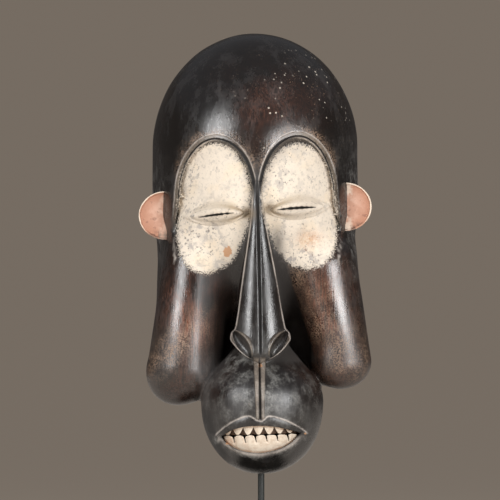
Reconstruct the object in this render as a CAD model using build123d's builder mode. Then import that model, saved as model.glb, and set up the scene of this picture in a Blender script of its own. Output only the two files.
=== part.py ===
"""A carved wooden face mask with pendulous cheeks, on its black steel display stand.

The mask faces -Y and +Z is up. The origin is on the underside of the felt, in the mask's middle
plane and in the flat back plane that its rim lies in. Lengths are in millimetres. Heights of the
mask's features are above its chin, and depths are forward of its rim plane.
"""

import os
from math import asin, cos, radians, sin, sqrt, tan

from build123d import *

# Stand
base_width = 150
base_depth = 140
base_thickness = 10
base_corner_radius = 4
base_edge_chamfer = 1
base_overhang_behind = 25  # from the post's axis to the plate's back edge
felt_thickness = 2
felt_inset = 3
post_diameter = 6
post_socket_depth = 5
post_behind_rim = 9.5  # from the rim plane back to the post's axis
collar_diameter = 16
collar_height = 8
collar_fillet = 2
screw_diameter = 4
screw_length = 16
screw_head_diameter = 8
screw_head_angle = 90
screw_drive_size = 2.5
screw_drive_depth = 1.2
fit_clearance = 0.05

# Hook that carries the mask, at the top of the post
hook_depth = 46  # from the rim plane forward to the axis of the upturned tip
hook_rise = 26  # from the axis of the level run up to the end of the steel
hook_bend_radius = 9
sleeve_thickness = 1.5
sleeve_length = 12
seat_gap = 0.3

# Rest bar that keeps the mask's lower rim off the post
rest_height = 36
rest_bar_height = 12
rest_bar_thickness = 3
rest_spread = 84  # between the two bumpers
bumper_diameter = 9
weld_saddle = 0.6  # how far the post lies in the bar's back

# Mask: skull
chin_clearance = 93  # from the base plate's top to the chin
skull_off_centre = -5.5
skull_half_width = 93
skull_crown_height = 400
skull_crown_rise = 104.5
skull_side_foot = 235
skull_foot_height = 105
skull_jaw_height = 150
skull_jaw_half_width = 51
skull_axis_depth = 30
web_jaw_half_width = 68  # the web behind the cheeks, from the rim to the skull's axis
web_jaw_height = 128
web_foot_height = 72
wall = 14

# Mask: sunken eye panels, the brow arch scored round them and the eyes in them
panel_off_centre = -4.1
panel_spread = 74.3
panel_half_width = 33.5
panel_top_height = 302
panel_centre_height = 250
panel_bottom_height = 177
panel_sink = 7
brow_band_width = 3  # of the flat band between a panel and the scored line
brow_line_width = 1.6
brow_line_depth = 1.3
brow_foot_height = 218
eye_height = 237
eye_spread = 73
eye_half_length = 29.5
eye_half_height = 9
eye_sink = 4  # from the panel's surface in to the eye's axis
eye_slit_length = 29
eye_slit_height = 2.3

# Mask: cheeks, as eggs with a straight stretch, hung on leaning axes
cheek_axis_depth = 72
cheek_pitch = 9  # degrees that the tops of the axes lie back
left_cheek_centre = (-67.5, 100)
left_cheek_radius = 35.5
left_cheek_foot = 37.5
left_cheek_fullness = 1.3  # 1 makes a plain ellipse of the foot
left_cheek_straight = 90
left_cheek_rise = 70
left_cheek_lean = 4
right_cheek_centre = (66.5, 135)
right_cheek_radius = 29
right_cheek_foot = 57
right_cheek_fullness = 1.3
right_cheek_straight = 45
right_cheek_rise = 80
right_cheek_lean = -12

# Mask: muzzle
muzzle_axis_depth = 85
muzzle_half_width = 56.5
muzzle_wide_height = 74
muzzle_fullness = 1.12  # 1 makes a plain ellipse of the chin
muzzle_neck_height = 112
muzzle_neck_half_width = 30
muzzle_top_height = 175

# Mask: mouth, lips and the groove above them
mouth_height = 35.9
mouth_half_width = 36
mouth_upper_rise = 8.5
mouth_lower_drop = 16.4
lip_relief = 2
lip_corner = 6
lip_peak_spread = 18.6
lip_peak_height = 53
lip_dip_height = 48.5
lip_bottom_height = 11.5
philtrum_width = 9
philtrum_groove_width = 1.8

# Mask: teeth, two strips let into the mouth from behind
tooth_setback = 4
tooth_thickness = 5
tooth_count = 8  # in the upper row; the lower row has one fewer
tooth_notch_width = 6.6
tooth_notch_share = 0.7  # of the tooth beside it
lower_slit_width = 1.2
lower_slit_depth = 6.5
bite_height = 35.2
bite_gap = 0.7

# Mask: nose
nose_root_height = 262
nose_root_half_width = 4
nose_flare_height = 134
nose_flare_half_width = 22.5
nostril_height = 127
nostril_half_width = 28
nose_tip_height = 102
nose_root_depth = 124
nose_tip_depth = 146
nose_facet_fall = 20  # degrees that each front facet falls away from the ridge
nose_back_depth = 60
ridge_groove_width = 2.2
ridge_groove_depth = 1.8
nostril_top = (21.5, 129.5)
nostril_foot = (7.5, 109)
nostril_radius = 5
nostril_lift = 1.2  # of the cup's axis off the facet

# Mask: ears, half discs with a tenon let into the side of the skull
ear_proud = 12.7  # from the skull's side out to the ear's outer edge
ear_half_width = 24
ear_half_height = 22
ear_front_depth = 72
ear_thickness = 10
left_ear_height = 234
right_ear_height = 242
ear_scoop_depth = 2
ear_scoop_border = 4
ear_edge_radius = 1.5
tenon_inset = 7  # from the skull's side in to the tenon's outer end
tenon_length = 14
tenon_height = 20
tenon_thickness = 6

# Worked out from the values above
base_top = felt_thickness + base_thickness
chin = base_top + chin_clearance
reach = 2 * nose_tip_depth  # longer than any cut through the mask
ear_reach = skull_half_width + ear_proud
tooth_pitch = 2 * mouth_half_width / tooth_count
quarter_handle = 4 * (sqrt(2) - 1) / 3  # of a cubic curve that stands for a quarter of an ellipse


def front_plane(x, height, depth, lean=0, pitch=0):
    """Plane that faces forward; lean tips its top towards +X and pitch tips its top back, in degrees."""
    upright = Plane(origin=(x, -depth, chin + height), x_dir=(1, 0, 0), z_dir=(0, -1, 0))
    return upright.rotated((-pitch, lean, 0))


skull_plane = front_plane(skull_off_centre, 0, skull_axis_depth)
muzzle_plane = front_plane(0, 0, muzzle_axis_depth)
face_plane = front_plane(0, 0, 0)
ridge_start = Vector(0, -nose_root_depth, chin + nose_root_height)
ridge_end = Vector(0, -nose_tip_depth, chin + nose_tip_height)
ridge = (ridge_end - ridge_start).normalized()


def swell(plane, half, back=None):
    """Turns half an outline into a round front and carries it, or another outline, straight back to the rim."""
    with BuildPart() as form:
        with BuildSketch(plane):
            add(half)
        revolve(axis=Axis(plane.origin, -plane.y_dir), revolution_arc=180)
        with BuildSketch(plane):
            add(back or half)
            mirror(about=Plane.YZ)
        extrude(amount=reach, dir=(0, 1, 0))
        split(bisect_by=Plane.XZ, keep=Keep.TOP)
    return form.part


def quarter_ellipse(height, half_width, rise, fullness=1):
    """Quarter of an ellipse, from its side to its top, or to its foot where rise is negative."""
    handle = fullness * quarter_handle
    return Bezier(
        (half_width, height),
        (half_width, height + handle * rise),
        (handle * half_width, height + rise),
        (0, height + rise),
    )


def skull_outline(inset=0, jaw=(skull_jaw_half_width, skull_jaw_height), foot=skull_foot_height):
    """Half outline of the skull, from the crown down its straight sides to the tapered foot."""
    jaw_half_width, jaw_height = jaw
    side = skull_half_width - inset
    equator = skull_crown_height - skull_crown_rise
    with BuildSketch() as half:
        with BuildLine():
            quarter_ellipse(equator, side, skull_crown_rise - inset)
            Line((side, equator), (side, skull_side_foot))
            Spline(
                (side, skull_side_foot),
                (jaw_half_width - inset, jaw_height),
                (0, foot + inset),
                tangents=[(0, -1), (-1, 0)],
            )
            Line((0, foot + inset), (0, skull_crown_height - inset))
        make_face()
    return half.sketch


def muzzle_outline(inset=0):
    """Half outline of the muzzle: a round chin that narrows upwards to a neck under the nose."""
    side = muzzle_half_width - inset
    with BuildSketch() as half:
        with BuildLine():
            quarter_ellipse(muzzle_wide_height, side, inset - muzzle_wide_height, muzzle_fullness)
            Spline(
                (side, muzzle_wide_height),
                (muzzle_neck_half_width - inset, muzzle_neck_height),
                (0, muzzle_top_height - inset),
                tangents=[(0, 1), (-1, 0)],
            )
            Line((0, muzzle_top_height - inset), (0, inset))
        make_face()
    return half.sketch


def cheek_outline(radius, foot, fullness, straight, rise):
    """Half outline of a cheek: a round foot, a straight stretch and a long round top."""
    with BuildSketch() as half:
        with BuildLine():
            quarter_ellipse(0, radius, -foot, fullness)
            Line((radius, 0), (radius, straight))
            quarter_ellipse(straight, radius, rise)
            Line((0, straight + rise), (0, -foot))
        make_face()
    return half.sketch


def panel_outlines(margin=0):
    """The two egg-shaped eye panels, narrower at the foot, each grown by a margin."""
    top = panel_top_height + margin
    bottom = panel_bottom_height - margin
    with BuildSketch() as panel:
        with BuildLine():
            quarter_ellipse(panel_centre_height, panel_half_width + margin, top - panel_centre_height)
            quarter_ellipse(panel_centre_height, panel_half_width + margin, bottom - panel_centre_height)
            Line((0, bottom), (0, top))
        make_face()
        mirror(about=Plane.YZ)
    with BuildSketch() as both:
        with Locations((panel_off_centre - panel_spread / 2, 0), (panel_off_centre + panel_spread / 2, 0)):
            add(panel.sketch)
    return both.sketch


def brow_line():
    """The line scored round both brows, which dips to a point between them."""
    with BuildPart() as line:
        with BuildSketch(face_plane):
            add(panel_outlines(brow_band_width + brow_line_width))
            add(panel_outlines(brow_band_width), mode=Mode.SUBTRACT)
            with Locations((0, brow_foot_height)):
                Rectangle(reach, brow_foot_height, align=(Align.CENTER, Align.MAX), mode=Mode.SUBTRACT)
        extrude(amount=reach)
        add(swell(skull_plane, skull_outline(brow_line_depth)), mode=Mode.SUBTRACT)
    return line.part


def mouth_outline():
    """The open mouth: a lens with a flatter upper edge."""
    with BuildSketch() as mouth:
        with BuildLine():
            corner = (mouth_half_width, mouth_height)
            far_corner = (-mouth_half_width, mouth_height)
            ThreePointArc(corner, (0, mouth_height + mouth_upper_rise), far_corner)
            ThreePointArc(far_corner, (0, mouth_height - mouth_lower_drop), corner)
        make_face()
    return mouth.sketch


def mouth_top(x):
    """Height of the mouth's upper edge at a distance from its middle."""
    radius = (mouth_half_width**2 + mouth_upper_rise**2) / (2 * mouth_upper_rise)
    return mouth_height + mouth_upper_rise - radius + sqrt(radius**2 - x**2)


def lip_outline():
    """The raised lips: two peaks with a dip between them above, one round sweep below."""
    corner = mouth_half_width + lip_corner
    peak = (lip_peak_spread / 2, lip_peak_height)
    with BuildSketch() as lips:
        with BuildLine():
            Line((0, lip_dip_height), peak)
            fall = (lip_corner, mouth_height - lip_peak_height)
            Spline(peak, (corner, mouth_height), tangents=[(1, 0), fall])
            Spline((corner, mouth_height), (0, lip_bottom_height), tangents=[(-1, -1), (-1, 0)])
            Line((0, lip_bottom_height), (0, lip_dip_height))
        make_face()
        mirror(about=Plane.YZ)
    return lips.sketch


def nose_outline():
    """The nose from in front: a long taper that flares to the nostrils and ends in a blunt point."""
    with BuildSketch() as nose:
        with BuildLine():
            Line((0, nose_root_height), (nose_root_half_width, nose_root_height))
            Spline(
                (nose_root_half_width, nose_root_height),
                (nose_flare_half_width, nose_flare_height),
                tangents=[(0, -1), (nose_flare_half_width / 2, nose_flare_height - nose_root_height)],
            )
            Line((nose_flare_half_width, nose_flare_height), (nostril_half_width, nostril_height))
            Spline(
                (nostril_half_width, nostril_height),
                (0, nose_tip_height),
                tangents=[(-1, -2), (-2, -1)],
            )
            Line((0, nose_tip_height), (0, nose_root_height))
        make_face()
        mirror(about=Plane.YZ)
    return nose.sketch


def nose_facet(side):
    """Plane of one front facet of the nose, which falls away from the ridge; it faces into the nose."""
    across = Vector(side * cos(radians(nose_facet_fall)), sin(radians(nose_facet_fall)), 0)
    return Plane(origin=ridge_start, x_dir=ridge, z_dir=across.cross(ridge) * side)


def nose_form():
    """The nose as a ridge roof, cut to its outline, with a groove down the ridge."""
    with BuildPart() as nose:
        with BuildSketch(face_plane):
            add(nose_outline())
        extrude(amount=reach)
        split(bisect_by=face_plane.offset(nose_back_depth), keep=Keep.TOP)
        for side in (-1, 1):
            split(bisect_by=nose_facet(side), keep=Keep.TOP)
        with BuildSketch(Plane(origin=ridge_start, x_dir=(1, 0, 0), z_dir=ridge)):
            with BuildLine():
                Polyline(
                    (-ridge_groove_width / 2, 0),
                    (0, -ridge_groove_depth),
                    (ridge_groove_width / 2, 0),
                    close=True,
                )
            make_face()
        extrude(amount=reach, mode=Mode.SUBTRACT)
    return nose.part


def nostril_form(side):
    """A nostril's cup: a spindle that lies along one wing of the nose, partly sunk in its facet."""
    facet = nose_facet(side)
    ends = []
    for x, height in (nostril_top, nostril_foot):
        on_rim = Vector(side * x, 0, chin + height)
        ends.append(on_rim - Vector(0, facet.to_local_coords(on_rim).Z / facet.z_dir.Y, 0))
    top, foot = ends
    along = (foot - top).normalized()
    half_length = (foot - top).length / 2
    middle = (top + foot) / 2 - facet.z_dir * nostril_lift
    cup_plane = Plane(origin=middle, x_dir=along, z_dir=-facet.z_dir)
    with BuildPart() as cup:
        with BuildSketch(cup_plane):
            with BuildLine():
                arc = Spline((-half_length, 0), (0, nostril_radius), (half_length, 0))
                Line(arc @ 0, arc @ 1)
            make_face()
        revolve(axis=Axis(middle, along))
    return cup.part


def eye_form(x):
    """An eye as a spindle that lies across the panel, following its curve."""
    off_axis = x - skull_off_centre
    core_radius = skull_half_width - panel_sink
    turn = asin(off_axis / core_radius)
    depth = skull_axis_depth + core_radius * cos(turn) - eye_sink
    lid = Plane(
        origin=(x, -depth, chin + eye_height),
        x_dir=(cos(turn), sin(turn), 0),
        z_dir=(sin(turn), -cos(turn), 0),
    )
    with BuildPart() as eye:
        with BuildSketch(lid):
            with BuildLine():
                arc = Spline((-eye_half_length, 0), (0, eye_half_height), (eye_half_length, 0))
                Line(arc @ 0, arc @ 1)
            make_face()
        revolve(axis=Axis(lid.origin, lid.x_dir))
    return eye.part


def relief(outline):
    """Whatever of the muzzle, swollen by the lips' relief, lies within an outline seen from in front."""
    with BuildPart() as raised:
        add(swell(muzzle_plane, muzzle_outline(-lip_relief)))
        with BuildSketch(face_plane.offset(muzzle_axis_depth)):
            add(outline)
        extrude(amount=reach, mode=Mode.INTERSECT)
    return raised.part


def philtrum_outline():
    """The upright band from the upper lip to the nose, split by a groove."""
    with BuildSketch() as band:
        with Locations((0, lip_dip_height)):
            Rectangle(philtrum_width, nose_tip_height - lip_dip_height, align=(Align.CENTER, Align.MIN))
            Rectangle(
                philtrum_groove_width,
                nose_tip_height - lip_dip_height,
                align=(Align.CENTER, Align.MIN),
                mode=Mode.SUBTRACT,
            )
    return band.sketch


def ear_tenon(side, height, clearance=0):
    """The tongue on the back of an ear, or its mortise when a clearance is given."""
    middle = skull_half_width - tenon_inset - tenon_length / 2
    with BuildPart() as tenon:
        with BuildSketch(front_plane(skull_off_centre, height, ear_front_depth - ear_thickness / 2)):
            with Locations((side * middle, 0)):
                Rectangle(tenon_length + 2 * clearance, tenon_height + 2 * clearance)
        extrude(amount=tenon_thickness / 2 + clearance, both=True)
    return tenon.part


def ear_form(side, height, cheek):
    """A half disc that faces forward, cut to the skull and cheek, with a scooped face and a tenon."""
    centre = side * (ear_reach - ear_half_width)
    with BuildPart() as ear:
        with BuildSketch(front_plane(skull_off_centre, height, ear_front_depth)):
            with Locations((centre, 0)):
                Ellipse(ear_half_width, ear_half_height)
        extrude(amount=-ear_thickness)
        fillet(ear.edges().group_by(Axis.Y)[0], ear_edge_radius)
        with BuildSketch(front_plane(skull_off_centre, height, ear_front_depth)):
            with Locations((centre, 0)):
                Ellipse(ear_half_width - ear_scoop_border, ear_half_height - ear_scoop_border)
        extrude(amount=-ear_scoop_depth, mode=Mode.SUBTRACT)
        add(skull, mode=Mode.SUBTRACT)
        add(cheek, mode=Mode.SUBTRACT)
        add(ear_tenon(side, height))
    return ear.part


def tooth_strip(upper):
    """One row of teeth: a strip that follows the muzzle's curve and fills half of the mouth."""
    side = 1 if upper else -1
    edge = bite_height + side * bite_gap / 2
    with BuildPart() as strip:
        add(swell(muzzle_plane, muzzle_outline(tooth_setback)))
        add(swell(muzzle_plane, muzzle_outline(tooth_setback + tooth_thickness)), mode=Mode.SUBTRACT)
        with BuildSketch(face_plane):
            add(mouth_outline())
            offset(amount=-fit_clearance)
            with Locations((0, edge)):
                Rectangle(
                    2 * mouth_half_width,
                    mouth_half_width,
                    align=(Align.CENTER, Align.MIN if upper else Align.MAX),
                    mode=Mode.INTERSECT,
                )
            teeth = tooth_count if upper else tooth_count - 1
            for gap in range(teeth - 1):
                x = (gap + 1 - teeth / 2) * tooth_pitch
                with Locations((x, edge)):
                    if upper:
                        notch_depth = tooth_notch_share * (mouth_top(x) - edge)
                        flank = sqrt(notch_depth**2 + (tooth_notch_width / 2) ** 2)
                        Triangle(
                            a=tooth_notch_width,
                            b=flank,
                            c=flank,
                            align=(Align.CENTER, Align.MIN),
                            mode=Mode.SUBTRACT,
                        )
                    else:
                        Rectangle(
                            lower_slit_width,
                            lower_slit_depth,
                            align=(Align.CENTER, Align.MAX),
                            mode=Mode.SUBTRACT,
                        )
        extrude(amount=reach, mode=Mode.INTERSECT)
    return strip.part


web_outline = skull_outline(jaw=(web_jaw_half_width, web_jaw_height), foot=web_foot_height)
skull = swell(skull_plane, skull_outline(), back=web_outline)
core = swell(skull_plane, skull_outline(panel_sink))
skull_hollow = swell(skull_plane, skull_outline(wall))
muzzle = swell(muzzle_plane, muzzle_outline())
muzzle_hollow = swell(muzzle_plane, muzzle_outline(wall))
left_cheek = swell(
    front_plane(*left_cheek_centre, cheek_axis_depth, left_cheek_lean, cheek_pitch),
    cheek_outline(
        left_cheek_radius, left_cheek_foot, left_cheek_fullness, left_cheek_straight, left_cheek_rise
    ),
)
right_cheek = swell(
    front_plane(*right_cheek_centre, cheek_axis_depth, right_cheek_lean, cheek_pitch),
    cheek_outline(
        right_cheek_radius, right_cheek_foot, right_cheek_fullness, right_cheek_straight, right_cheek_rise
    ),
)
lips = relief(lip_outline())
philtrum = relief(philtrum_outline())
nose = nose_form()

with BuildPart() as mask_body:
    add(skull)
    with BuildSketch(face_plane):
        add(panel_outlines())
    extrude(amount=reach, mode=Mode.SUBTRACT)
    add(brow_line(), mode=Mode.SUBTRACT)
    add(core)
    for side in (-1, 1):
        add(eye_form(panel_off_centre + side * eye_spread / 2))
    add(left_cheek)
    add(right_cheek)
    add(muzzle)
    add(lips)
    add(philtrum)
    add(nose)
    for side in (-1, 1):
        add(nostril_form(side), mode=Mode.SUBTRACT)
    add(skull_hollow, mode=Mode.SUBTRACT)
    add(muzzle_hollow, mode=Mode.SUBTRACT)
    with BuildSketch(face_plane):
        add(mouth_outline())
    extrude(amount=reach, mode=Mode.SUBTRACT)
    with BuildSketch(face_plane):
        with Locations(*[(panel_off_centre + side * eye_spread / 2, eye_height) for side in (-1, 1)]):
            SlotOverall(eye_slit_length, eye_slit_height)
    extrude(amount=reach, mode=Mode.SUBTRACT)
    for side, height in ((-1, left_ear_height), (1, right_ear_height)):
        add(ear_tenon(side, height, fit_clearance), mode=Mode.SUBTRACT)
    mask_body.part.label = "mask_body"

with BuildPart() as left_ear:
    add(ear_form(-1, left_ear_height, left_cheek))
    left_ear.part.label = "left_ear"

with BuildPart() as right_ear:
    add(ear_form(1, right_ear_height, right_cheek))
    right_ear.part.label = "right_ear"

with BuildPart() as upper_teeth:
    add(tooth_strip(upper=True))
    upper_teeth.part.label = "upper_teeth"

with BuildPart() as lower_teeth:
    add(tooth_strip(upper=False))
    lower_teeth.part.label = "lower_teeth"

# Stand: where the post stands and where its hook ends
post_radius = post_diameter / 2
base_centre = (0, post_behind_rim + base_overhang_behind - base_depth / 2)
sleeve_radius = post_radius + sleeve_thickness
roof_half_width = skull_half_width - wall
roof_rise = skull_crown_rise - wall
tip_off_axis = sqrt(skull_off_centre**2 + (hook_depth - skull_axis_depth) ** 2)
roof_drop = sqrt(1 - (tip_off_axis / roof_half_width) ** 2)
roof_slope = roof_rise * tip_off_axis / (roof_half_width**2 * roof_drop)
roof_height = chin + skull_crown_height - skull_crown_rise + roof_rise * roof_drop
tip_height = roof_height - (sleeve_radius + seat_gap) * sqrt(1 + roof_slope**2)
bar_back = post_behind_rim - post_radius + weld_saddle

with BuildPart() as base_felt:
    with BuildSketch():
        with Locations(base_centre):
            RectangleRounded(
                base_width - 2 * felt_inset, base_depth - 2 * felt_inset, radius=base_corner_radius
            )
    extrude(amount=felt_thickness)
    base_felt.part.label = "base_felt"

with BuildPart() as base_plate:
    with BuildSketch(Plane.XY.offset(felt_thickness)):
        with Locations(base_centre):
            RectangleRounded(base_width, base_depth, radius=base_corner_radius)
    extrude(amount=base_thickness)
    chamfer(base_plate.edges().group_by(Axis.Z)[-1], base_edge_chamfer)
    with Locations((0, post_behind_rim, base_top)):
        Hole(post_radius + fit_clearance, depth=post_socket_depth)
    with Locations(Plane(origin=(0, post_behind_rim, felt_thickness), z_dir=(0, 0, -1))):
        CounterSinkHole(
            radius=screw_diameter / 2 + fit_clearance,
            counter_sink_radius=screw_head_diameter / 2 + fit_clearance,
            depth=base_thickness,
            counter_sink_angle=screw_head_angle,
        )
    base_plate.part.label = "base_plate"

with BuildPart() as post:
    with BuildLine():
        FilletPolyline(
            (0, post_behind_rim, base_top - post_socket_depth),
            (0, post_behind_rim, tip_height - hook_rise),
            (0, -hook_depth, tip_height - hook_rise),
            (0, -hook_depth, tip_height),
            radius=hook_bend_radius,
        )
    with BuildSketch(Plane.XY.offset(base_top - post_socket_depth)):
        with Locations((0, post_behind_rim)):
            Circle(post_radius)
    sweep()
    with Locations(Plane(origin=(0, post_behind_rim, base_top - post_socket_depth), z_dir=(0, 0, -1))):
        Hole(screw_diameter / 2 + fit_clearance, depth=screw_length)
    post.part.label = "post"

with BuildPart() as base_screw:
    with Locations((0, post_behind_rim, felt_thickness)):
        Cylinder(screw_diameter / 2, screw_length, align=(Align.CENTER, Align.CENTER, Align.MIN))
        Cone(
            screw_head_diameter / 2,
            screw_diameter / 2,
            (screw_head_diameter - screw_diameter) / 2 / tan(radians(screw_head_angle / 2)),
            align=(Align.CENTER, Align.CENTER, Align.MIN),
        )
    with BuildSketch(Plane.XY.offset(felt_thickness)):
        with Locations((0, post_behind_rim)):
            RegularPolygon(screw_drive_size / 2, 6, major_radius=False)
    extrude(amount=screw_drive_depth, mode=Mode.SUBTRACT)
    base_screw.part.label = "base_screw"

with BuildPart() as post_collar:
    with BuildSketch(Plane.XY.offset(base_top)):
        with Locations((0, post_behind_rim)):
            Circle(collar_diameter / 2)
            Circle(post_radius + fit_clearance, mode=Mode.SUBTRACT)
    extrude(amount=collar_height)
    fillet(post_collar.edges().group_by(Axis.Z)[-1].sort_by(SortBy.RADIUS)[-1], collar_fillet)
    post_collar.part.label = "post_collar"

with BuildPart() as hook_sleeve:
    with Locations((0, -hook_depth, tip_height)):
        Sphere(sleeve_radius)
        Cylinder(sleeve_radius, sleeve_length, align=(Align.CENTER, Align.CENTER, Align.MAX))
        Cylinder(
            post_radius,
            sleeve_length,
            align=(Align.CENTER, Align.CENTER, Align.MAX),
            mode=Mode.SUBTRACT,
        )
    hook_sleeve.part.label = "hook_sleeve"

with BuildPart() as rest_bar:
    with BuildSketch(front_plane(0, rest_height, -bar_back)):
        SlotOverall(rest_spread + rest_bar_height, rest_bar_height)
    extrude(amount=rest_bar_thickness)
    add(post.part, mode=Mode.SUBTRACT)
    rest_bar.part.label = "rest_bar"


def bumper(side):
    """A round pad on the rest bar, just clear of the mask's rim."""
    with BuildPart() as pad:
        with BuildSketch(front_plane(side * rest_spread / 2, rest_height, rest_bar_thickness - bar_back)):
            Circle(bumper_diameter / 2)
        extrude(amount=bar_back - rest_bar_thickness - seat_gap)
    return pad.part


with BuildPart() as left_bumper:
    add(bumper(-1))
    left_bumper.part.label = "left_bumper"

with BuildPart() as right_bumper:
    add(bumper(1))
    right_bumper.part.label = "right_bumper"

os.makedirs("parts", exist_ok=True)
for piece in (
    mask_body,
    left_ear,
    right_ear,
    upper_teeth,
    lower_teeth,
    base_felt,
    base_plate,
    post,
    base_screw,
    post_collar,
    hook_sleeve,
    rest_bar,
    left_bumper,
    right_bumper,
):
    export_step(piece.part, f"parts/{piece.part.label}.step")
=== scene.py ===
"""Looks of a carved wooden face mask with pendulous cheeks, on its black steel display stand.

The mask, its teeth and its ears are carved here as finished surfaces round the CAD frame, and the stand
keeps its CAD nodes with their own finishes. Heights on the mask are above its chin and depths are forward of
the flat rim at its back, both in millimetres. The frame's -Y is forward and its +Z is up.
"""

import logging
import math
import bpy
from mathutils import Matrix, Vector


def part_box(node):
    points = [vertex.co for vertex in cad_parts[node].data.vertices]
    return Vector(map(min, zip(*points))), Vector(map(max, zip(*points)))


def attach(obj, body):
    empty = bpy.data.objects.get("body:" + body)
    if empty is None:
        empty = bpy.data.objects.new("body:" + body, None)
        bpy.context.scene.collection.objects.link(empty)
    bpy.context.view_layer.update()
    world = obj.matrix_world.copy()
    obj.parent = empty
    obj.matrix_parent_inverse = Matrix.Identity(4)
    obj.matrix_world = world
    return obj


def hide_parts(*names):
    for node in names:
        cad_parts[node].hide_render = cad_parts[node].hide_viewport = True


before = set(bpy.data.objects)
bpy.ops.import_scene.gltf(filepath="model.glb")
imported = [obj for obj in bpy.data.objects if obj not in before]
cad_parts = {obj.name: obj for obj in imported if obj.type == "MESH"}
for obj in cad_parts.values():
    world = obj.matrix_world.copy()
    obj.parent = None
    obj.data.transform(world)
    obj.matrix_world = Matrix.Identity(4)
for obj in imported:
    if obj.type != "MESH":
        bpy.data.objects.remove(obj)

from concurrent.futures import ThreadPoolExecutor
from dataclasses import dataclass
from enum import Enum
from typing import Callable, ClassVar, NamedTuple, Self

import bmesh
import bpy
import numpy as np
import openvdb

Array = np.ndarray
Colour = tuple[float, float, float]
Point = tuple[float, float, float]
Spot = tuple[float, float, float, float, float]
MILLIMETRE = 0.001

log = logging.getLogger("mask")


# Shaping of forms by signed distance: negative inside the wood, in millimetres


class Places(NamedTuple):
    """Many places: distances across the mask, depths forward of its rim and heights above its chin."""

    x: Array
    d: Array
    h: Array


Form = Callable[[Places], Array]


def smooth_union(a: Array, b: Array, reach: float) -> Array:
    """Joins two forms with a fillet.

    Args:
        a: Signed distance of one form.
        b: Signed distance of the other.
        reach: How far from their crossing the fillet starts.

    Returns:
        Signed distance of the joined form.
    """
    share = np.clip(0.5 + 0.5 * (b - a) / reach, 0.0, 1.0)
    return b + (a - b) * share - reach * share * (1.0 - share)


def smooth_overlap(a: Array, b: Array, reach: float) -> Array:
    """Keeps what two forms share, with a rounded edge.

    Args:
        a: Signed distance of one form.
        b: Signed distance of the other.
        reach: How far from their crossing the rounding starts.

    Returns:
        Signed distance of the shared form.
    """
    return -smooth_union(-a, -b, reach)


def step(low: float, high: float, value: Array) -> Array:
    """Eases from 0 at `low` to 1 at `high`, which may be the smaller of the two."""
    share = np.clip((value - low) / (high - low), 0.0, 1.0)
    return share * share * (3.0 - 2.0 * share)


def bell(gap: Array, spread: Array | float) -> Array:
    """Eases from 1 where a gap is nothing to 0 well past its spread."""
    return np.exp(-((gap / spread) ** 2))


def blob(at: Places, centre: tuple[float, float], spread: tuple[float, float]) -> Array:
    """Soft round spot, 1 at its centre.

    Args:
        at: Places on the mask.
        centre: Where the spot is, across and up.
        spread: How far it spreads, across and up.

    Returns:
        The spot's strength from 0 to 1.
    """
    return np.exp(-(((at.x - centre[0]) / spread[0]) ** 2) - ((at.h - centre[1]) / spread[1]) ** 2)


def spots(at: Places, rows: tuple[Spot, ...]) -> Array:
    """Adds up soft spots, each with its own strength."""
    return sum(strength * blob(at, (x, h), (wide, high)) for x, h, wide, high, strength in rows)



class Profile:
    """Smooth curve through a few stations, with no overshoot between them."""

    SAMPLES = 600

    def __init__(self, *stations: tuple[float, float]) -> None:
        """Fits the curve.

        Args:
            stations: Pairs of place and value, in rising order of place.
        """
        place, value = (np.array(column, float) for column in zip(*stations))
        gap = np.diff(place)
        rate = np.diff(value) / gap
        slope = np.zeros_like(place)
        turning = rate[:-1] * rate[1:] <= 0.0
        weight_left, weight_right = 2.0 * gap[1:] + gap[:-1], gap[1:] + 2.0 * gap[:-1]
        with np.errstate(divide="ignore", invalid="ignore"):
            mean = (weight_left + weight_right) / (weight_left / rate[:-1] + weight_right / rate[1:])
        slope[1:-1] = np.where(turning, 0.0, mean)
        slope[0], slope[-1] = rate[0], rate[-1]
        self.places = np.linspace(place[0], place[-1], self.SAMPLES)
        index = np.clip(np.searchsorted(place, self.places, side="right") - 1, 0, len(gap) - 1)
        t = (self.places - place[index]) / gap[index]
        self.values = (
            value[index] * (1 + 2 * t) * (1 - t) ** 2
            + gap[index] * slope[index] * t * (1 - t) ** 2
            + value[index + 1] * t**2 * (3 - 2 * t)
            + gap[index] * slope[index + 1] * t**2 * (t - 1)
        )
        self.rates = np.gradient(self.values, self.places)

    def __call__(self, place: Array) -> Array:
        """Value of the curve, held level beyond its ends."""
        return np.interp(place, self.places, self.values).astype(np.float32)

    def steepness(self, place: Array) -> Array:
        """Length of the curve per unit of place, which turns a sideways gap into a distance."""
        return np.sqrt(1.0 + np.interp(place, self.places, self.rates) ** 2).astype(np.float32)


def round_gap(u: Array, v: Array, half_width: float, half_height: Array | float, power: float = 2.0) -> Array:
    """Distance from an ellipse, or a squarer oval, about the origin.

    Args:
        u: Places across.
        v: Places up.
        half_width: Half of its width.
        half_height: Half of its height.
        power: 2 for an ellipse, more for a squarer oval.

    Returns:
        Signed distance, negative inside.
    """
    across = np.abs(u) / half_width + 1e-6
    up = np.abs(v) / half_height + 1e-6
    size = (across**power + up**power) ** (1.0 / power)
    slope = np.hypot(across ** (power - 1) / half_width, up ** (power - 1) / half_height)
    return (size - 1.0) / (slope * size ** (1.0 - power))


def strut(at: Places, start: Point, end: Point) -> Array:
    """Round bar whose thickness changes from end to end.

    Args:
        at: Places whose depths are measured from the bar's axis.
        start: Across, height and radius at one end.
        end: Across, height and radius at the other.

    Returns:
        Signed distance of the bar.
    """
    x, d, h = at
    run, climb = end[0] - start[0], end[1] - start[1]
    share = ((x - start[0]) * run + (h - start[1]) * climb) / (run * run + climb * climb)
    share = np.clip(share, 0.0, 1.0)
    radius = start[2] + (end[2] - start[2]) * share
    gap = np.sqrt((x - start[0] - share * run) ** 2 + (h - start[1] - share * climb) ** 2 + d * d)
    return gap - radius


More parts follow.
